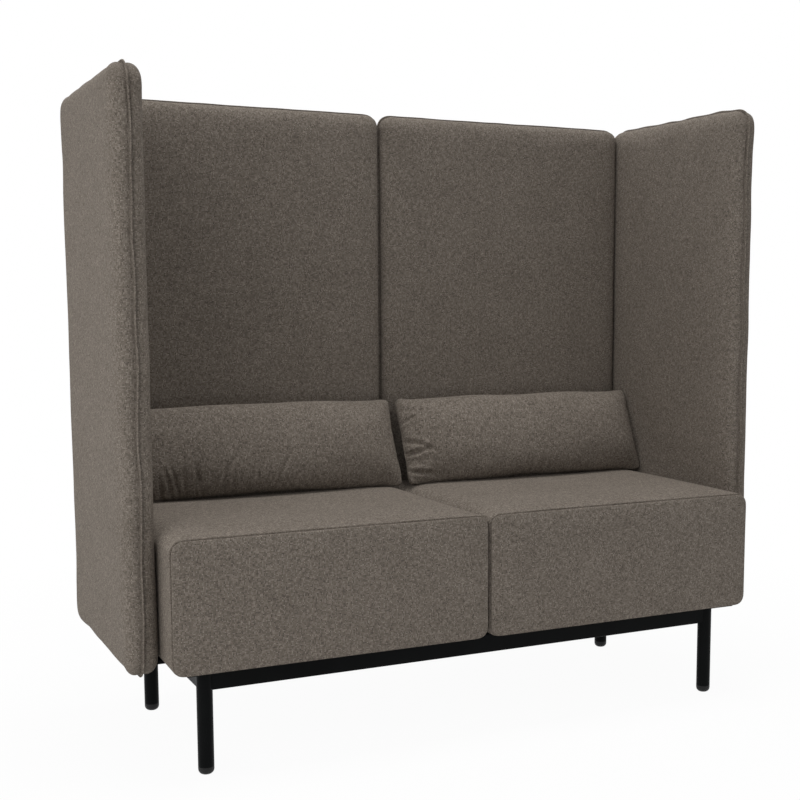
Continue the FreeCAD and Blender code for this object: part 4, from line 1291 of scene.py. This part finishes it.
@dataclass
class LumbarPillow:
    """One loose pillow: two cut cloths sewn round their edges, filled, and leaned on the back."""

    side: Side
    finishes: Finishes
    width: float = 0.616
    height: float = 0.203
    thick: float = 0.122
    lean: float = math.radians(25.0)
    corner: float = 0.012
    seam_ease: float = 0.01
    width_ease: float = 0.045
    height_ease: float = 0.26
    seam_wave: float = 0.0012
    eased: int = 36
    crease_free: float = 0.03
    settle: float = 0.0065
    corner_rise: float = 0.007
    lift: float = 0.004
    gap: float = 0.0005
    spread: float = 0.009
    edge: Roll = Roll(0.002, 0.002)
    fine: float = 0.0035
    face_step: float = 0.0044
    end_power: int = 7
    side_power: float = 2.2
    seam_gap: float = 0.001
    start_half: float = 0.03
    cut_share: float = 0.3
    wave_length: float = 0.07
    wave_reach: float = 0.02
    fold_start: float = 0.012

    @property
    def gathers(self) -> list[Gathers]:
        """The front's folds, most along the left pillow's lower seam and at the right one's left end."""
        end, low = self.width / 2, -self.height / 2
        up, from_left, from_right = (0.0, 1.0), (1.0, 0.0), (-1.0, 0.0)
        if self.side is Side.LEFT:
            return [
                Gathers(
                    (0.05 - end, low), (0.31 - end, low), up,
                    spacing=0.0165, length=0.100, width=0.0048, depth=0.0044,
                ),
                Gathers(
                    (0.32 - end, low), (0.44 - end, low), up,
                    spacing=0.030, length=0.080, width=0.0060, depth=0.0020,
                ),
                Gathers(
                    (end, -0.06), (end, 0.05), from_right,
                    spacing=0.034, length=0.040, width=0.0050, depth=0.0026,
                ),
            ]
        return [
            Gathers(
                (-end, -0.075), (-end, 0.015), from_left,
                spacing=0.030, length=0.125, width=0.0060, depth=0.0056,
            ),
            Gathers(
                (-end, 0.03), (-end, 0.07), from_left,
                spacing=0.026, length=0.085, width=0.0052, depth=0.0042,
            ),
            Gathers(
                (end, -0.05), (end, 0.06), from_right,
                spacing=0.040, length=0.044, width=0.0050, depth=0.0028,
            ),
            Gathers(
                (-0.05, low), (0.16, low), up,
                spacing=0.050, length=0.085, width=0.0070, depth=0.0018,
            ),
        ]

    def build(self) -> bpy.types.Object:
        """Cut, fill and place the pillow.

        Returns:
            The dressed pillow.
        """
        name = self.side.value
        grid = FaceGrid(self.width, self.height, self.corner, self.edge, self.fine, self.face_step)
        wide = np.clip(np.abs(2 * grid.a / self.width), 0.0, 1.0)
        high = np.clip(np.abs(2 * grid.b / self.height), 0.0, 1.0)
        full = np.sqrt(1.0 - wide**self.end_power) * np.sqrt(1.0 - high**self.side_power)
        deep = self.seam_gap + full * self.start_half
        waves = ripple(grid.a, grid.b, self.wave_length, self.side.seed)
        sway = self.seam_wave * waves * np.exp(-grid.run / self.wave_reach)
        a, b = grid.a + grid.out_a * sway, grid.b + grid.out_b * sway
        near = rows(a, b, -deep)
        cover = SewnCover(f"{name}_pillow", grid, near, near * (1, 1, -1), self.side.seed + 40)
        stand = Stand(Vector((0, 0, 0)), ACROSS, UP, BACK)
        drawn = stand.to_frame(np.concatenate([cover.near, cover.far]))
        a = grid.a * (1.0 + self.seam_ease) * (1.0 + self.width_ease * (1.0 - high**2))
        b = grid.b * (1.0 + self.seam_ease) * (1.0 + self.height_ease * (1.0 - wide**self.end_power))
        cut = rows(a, b, -self.cut_share * deep)
        cover.near, cover.far = cut, cut * (1, 1, -1)
        piece = cover.build(stand)
        held = np.where(grid.run.ravel() < AT_SEAM, 1.0, 0.0)
        filling = Inflation(pressure=7.0, frames=30, reach=0.3, stiffness=40.0, bending=0.5)
        filling.run(piece, np.concatenate([held, held]), drawn)
        place_vertices(piece.data, self.relaxed(vertex_places(piece.data), grid))
        places = self.gathered(vertex_places(piece.data), piece.data, grid)
        place_vertices(piece.data, self.settled(places))
        nodes = [f"{name}_pillow_cover", f"{name}_pillow_filling"]
        finish_soft(piece, self.finishes, f"{name}_pillow", nodes)
        return piece

    def relaxed(self, places: np.ndarray, grid: FaceGrid) -> np.ndarray:
        """Ease the creases out of both cloths, as a full filling does, and leave the seam where it is.

        Args:
            places: The filled pillow's vertices, its near cloth first.
            grid: The layout of each cloth.

        Returns:
            The smoother vertices.
        """
        cloths = places.reshape(2, *grid.a.shape, 3).copy()
        share = 0.5 * smooth(grid.run, 0.0, self.crease_free)[1:-1, 1:-1, None]
        for _ in range(self.eased):
            around = cloths[:, :-2, 1:-1] + cloths[:, 2:, 1:-1] + cloths[:, 1:-1, :-2] + cloths[:, 1:-1, 2:]
            middle = cloths[:, 1:-1, 1:-1]
            cloths[:, 1:-1, 1:-1] = middle + share * (around / 4.0 - middle)
        return cloths.reshape(-1, 3)

    def gathered(self, places: np.ndarray, mesh: bpy.types.Mesh, grid: FaceGrid) -> np.ndarray:
        """Press the gathers into the filled pillow's front.

        Args:
            places: The filled pillow's vertices.
            mesh: Its mesh, for the ways its surface faces.
            grid: The layout of its front, which comes first in the vertices.

        Returns:
            The vertices with the folds.
        """
        facing = np.empty(len(places) * 3)
        mesh.vertex_normals.foreach_get("vector", facing)
        lift = np.zeros_like(grid.a)
        for number, gathers in enumerate(self.gathers):
            lift = lift + gathers.relief(grid.a, grid.b, self.side.seed + number)
        lift = lift * smooth(grid.run, 0.0, self.fold_start)
        places = places.copy()
        places[: lift.size] += facing.reshape(-1, 3)[: lift.size] * lift.reshape(-1, 1)
        return places

    def settled(self, places: np.ndarray) -> np.ndarray:
        """Fit the filled pillow to its size and set it down on the seat, against the back.

        Args:
            places: The pillow upright about the origin.

        Returns:
            The pillow in its place.
        """
        name = self.side.value
        low, high = (np.array(corner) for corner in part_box(f"{name}_pillow_cover"))
        if self.side is Side.RIGHT:
            low[0] -= self.spread
        places = places - (places.max(axis=0) + places.min(axis=0)) / 2
        size = places.max(axis=0) - places.min(axis=0)
        places = places * (np.array([high[0] - low[0], self.thick, self.height]) / size)
        places = places @ np.array(Matrix.Rotation(-self.lean, 3, "X")).T
        share = np.abs(2 * places[:, 0] / self.width)
        places[:, 2] -= self.settle * share**2 * smooth(-places[:, 2], -0.09, 0.08)
        places[:, 2] += self.corner_rise * share**2 * smooth(places[:, 2], 0.0, 0.08)
        places[:, 0] += (low[0] + high[0]) / 2
        places[:, 1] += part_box(f"{name}_back_front_cover")[0].y - self.gap - places[:, 1].max()
        places[:, 2] += (low[2] + high[2]) / 2 + self.lift
        return places


@dataclass
class BaseCloth:
    """The dark cloth that closes one seat from below."""

    side: Side
    finishes: Finishes
    step: float = 0.02
    thickness: float = 0.0005
    slack: float = 0.0002
    wave_length: float = 0.06

    def build(self) -> bpy.types.Object:
        """Stretch the cloth under the frame.

        Returns:
            The dressed cloth.
        """
        name = f"{self.side.value}_base_cloth_sheet"
        low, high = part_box(f"{self.side.value}_seat_base_cloth")
        x, y = np.meshgrid(
            np.linspace(low.x, high.x, round((high.x - low.x) / self.step)),
            np.linspace(low.y, high.y, round((high.y - low.y) / self.step)),
            indexing="ij",
        )
        z = (low.z + high.z) / 2 + self.slack * ripple(x, y, self.wave_length, self.side.seed)
        quads = np.roll(grid_squares(x.shape)[:, ::-1], 1, axis=1)
        mesh = bpy.data.meshes.new(name)
        mesh.from_pydata(rows(x, y, z).tolist(), [], quads.tolist())
        layer = mesh.uv_layers.new(name=CLOTH_UV)
        layer.data.foreach_set("uv", np.ravel(rows(x, y)[quads]))
        piece = bpy.data.objects.new(name, mesh)
        bpy.context.scene.collection.objects.link(piece)
        wall = piece.modifiers.new("thickness", "SOLIDIFY")
        wall.thickness, wall.offset = self.thickness, 0.0
        piece.data.materials.append(self.finishes.by_slot[Slot.BASE_CLOTH])
        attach(piece, "sofa")
        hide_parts(f"{self.side.value}_seat_base_cloth")
        LOG.info("%s: %d faces", name, len(quads))
        return piece


@dataclass
class HardFrame:
    """The carried-over solids: legs, rails, arms, boards, fixings and what the covers hide."""

    finishes: Finishes
    slots: dict[str, Slot] = field(
        default_factory=lambda: {
            "screws": Slot.ZINC_STEEL,
            "bolts": Slot.ZINC_STEEL,
            "nuts": Slot.ZINC_STEEL,
            "glides": Slot.GLIDE_PLASTIC,
            "caps": Slot.GLIDE_PLASTIC,
            "core": Slot.TIMBER,
            "frame": Slot.TIMBER,
            "foam": Slot.FOAM,
            "filling": Slot.FOAM,
            "webbing": Slot.WEBBING,
            "cloth": Slot.BASE_CLOTH,
            "cover": Slot.UPHOLSTERY,
        }
    )

    def dress(self) -> None:
        """Give every solid the finish that its name asks for."""
        for name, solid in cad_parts.items():
            slot = self.slots.get(name.split("_")[-1], Slot.BLACK_STEEL)
            solid.data.materials.clear()
            solid.data.materials.append(self.finishes.by_slot[slot])
            LOG.info("%s: %s", name, slot.value)


def looking(place: Place, ahead: Vector) -> Matrix:
    """The matrix of something at a place that looks along a direction."""
    return Matrix.Translation(place) @ ahead.to_track_quat("-Z", "Y").to_matrix().to_4x4()


@dataclass(frozen=True)
class Softbox:
    """One square soft lamp, with its power in watts."""

    name: str
    place: Place
    aim: Place
    size: float
    power: float

    def hang(self) -> None:
        """Put the lamp in its place."""
        light = bpy.data.lights.new(self.name, "AREA")
        light.size, light.energy = self.size, self.power
        hung = bpy.data.objects.new(self.name, light)
        bpy.context.scene.collection.objects.link(hung)
        hung.matrix_world = looking(self.place, Vector(self.aim) - Vector(self.place))


@dataclass
class Studio:
    """A pale floor, soft light and the camera at the photograph's place."""

    eye: Place = (-1.1975, -2.5450, 0.8812)
    turn: float = 0.4650
    dip: float = 0.1173
    focal_pixels: float = 1303.4
    axis_pixels: tuple[float, float] = (460.0, 450.5)
    image: int = 800
    sensor: float = 36.0
    view_end: float = 200.0
    ambient: float = 0.387
    floor_tone: float = 0.82
    floor_half: float = 30.0
    floor_shadow: float = 0.04
    shadow_start: float = 0.8
    shadow_reach: float = 1.9
    lamps: tuple[Softbox, ...] = (
        Softbox("left_softbox", place=(-3.6, 0.3, 1.1), aim=(-0.7, 0.1, 0.7), size=2.0, power=18.2),
        Softbox("front_left_softbox", place=(-3.2, -2.4, 2.4), aim=(0.0, 0.0, 0.6), size=2.4, power=40.4),
        Softbox("top_softbox", place=(0.1, 0.0, 6.0), aim=(0.1, 0.0, 0.4), size=2.0, power=165.0),
    )

    def build(self) -> None:
        """Set up the view, the floor, the world and the lamps."""
        bpy.context.scene.view_settings.view_transform = "Standard"
        self.camera()
        self.floor()
        self.world()
        for lamp in self.lamps:
            lamp.hang()

    def camera(self) -> None:
        """Place the camera."""
        lens = bpy.data.cameras.new("view")
        lens.sensor_width = self.sensor
        lens.lens = self.focal_pixels / self.image * self.sensor
        lens.shift_x = (self.image / 2 - self.axis_pixels[0]) / self.image
        lens.shift_y = (self.axis_pixels[1] - self.image / 2) / self.image
        lens.clip_end = self.view_end
        eye = bpy.data.objects.new("view", lens)
        bpy.context.scene.collection.objects.link(eye)
        level, down = math.cos(self.dip), -math.sin(self.dip)
        ahead = Vector((math.sin(self.turn) * level, math.cos(self.turn) * level, down))
        eye.matrix_world = looking(self.eye, ahead)
        bpy.context.scene.camera = eye

    def background_share(self, w: Wiring) -> bpy.types.NodeSocket:
        """The output that is 1 for rays that show the background as it is."""
        path = w.add("ShaderNodeLightPath", {}).outputs
        shown = w.math("MAXIMUM", path["Is Camera Ray"], path["Is Glossy Ray"])
        return w.math("MAXIMUM", shown, path["Is Transmission Ray"])

    def floor(self) -> None:
        """Lay the floor, white to the camera but for the sofa's soft shadow."""
        mesh = bpy.data.meshes.new("floor")
        far = self.floor_half
        corners = [(-far, -far, 0), (far, -far, 0), (far, far, 0), (-far, far, 0)]
        mesh.from_pydata(corners, [], [(0, 1, 2, 3)])
        ground = bpy.data.objects.new("floor", mesh)
        bpy.context.scene.collection.objects.link(ground)
        material = bpy.data.materials.new("pale_floor")
        material.use_nodes = True
        material.node_tree.nodes.clear()
        w = Wiring(material.node_tree)
        matt = w.add("ShaderNodeBsdfDiffuse", {}, Color=(*[self.floor_tone] * 3, 1.0))
        glow = w.add("ShaderNodeEmission", {}, Color=(1.0, 1.0, 1.0, 1.0), Strength=1.0)
        away = w.add("ShaderNodeVectorMath", {"operation": "LENGTH"})
        w.feed(away.inputs[0], w.add("ShaderNodeTexCoord", {}).outputs["Object"])
        fade = w.add(
            "ShaderNodeMapRange",
            {},
            Value=away.outputs["Value"],
            From_Min=self.shadow_start,
            From_Max=self.shadow_reach,
            To_Min=1.0 - self.floor_shadow,
            To_Max=1.0,
        )
        share = w.math("MULTIPLY", self.background_share(w), fade.outputs[0])
        mix = w.add("ShaderNodeMixShader", {}, Fac=share)
        w.feed(mix.inputs[1], matt.outputs[0])
        w.feed(mix.inputs[2], glow.outputs[0])
        w.add("ShaderNodeOutputMaterial", {}, Surface=mix.outputs[0])
        mesh.materials.append(material)

    def world(self) -> None:
        """Light the room evenly and show it white."""
        world = bpy.data.worlds.new("studio")
        world.use_nodes = True
        world.node_tree.nodes.clear()
        w = Wiring(world.node_tree)
        soft = w.add("ShaderNodeBackground", {}, Color=(1.0, 1.0, 1.0, 1.0), Strength=self.ambient)
        white = w.add("ShaderNodeBackground", {}, Color=(1.0, 1.0, 1.0, 1.0), Strength=1.0)
        mix = w.add("ShaderNodeMixShader", {}, Fac=self.background_share(w))
        w.feed(mix.inputs[1], soft.outputs[0])
        w.feed(mix.inputs[2], white.outputs[0])
        w.add("ShaderNodeOutputWorld", {}, Surface=mix.outputs[0])
        bpy.context.scene.world = world


@dataclass
class Sofa:
    """The whole sofa, built piece by piece."""

    finishes: Finishes

    def build(self) -> None:
        """Build and dress every piece in order."""
        HardFrame(self.finishes).dress()
        for side in Side:
            SeatCushion(side, self.finishes).build()
            BaseCloth(side, self.finishes).build()
            self.side_panel(side)
            self.back_panel(side)
            LumbarPillow(side, self.finishes).build()

    def side_panel(self, side: Side) -> None:
        """Build the panel that closes one end."""
        name = f"{side.value}_panel"
        nodes = [f"{name}_{part}" for part in ("inner_cover", "inner_foam", "outer_cover", "outer_foam")]
        PaddedPanel(
            f"{name}_padding",
            nodes,
            self.finishes,
            faces_sideways=True,
            seed=side.seed,
            seam_stand=0.005,
            corner=0.038,
            wave=0.0022,
        ).build()

    def back_panel(self, side: Side) -> None:
        """Build the panel behind one seat."""
        name = f"{side.value}_back"
        nodes = [f"{name}_{part}" for part in ("front_cover", "front_foam", "rear_cover", "rear_foam")]
        press = (0.0038, 0.0016) if side is Side.LEFT else (0.0016, 0.0038)
        PaddedPanel(
            f"{name}_padding",
            nodes,
            self.finishes,
            faces_sideways=False,
            seed=side.seed + 20,
            seam_stand=0.003,
            corner=0.030,
            wave=0.0005,
            press=press,
        ).build()


def main() -> None:
    """Build the sofa and its studio."""
    logging.basicConfig(level=logging.INFO, format="%(name)s: %(message)s")
    Sofa(Finishes(Palette())).build()
    Studio().build()
    bpy.context.view_layer.update()


if __name__ == "__main__":
    main()
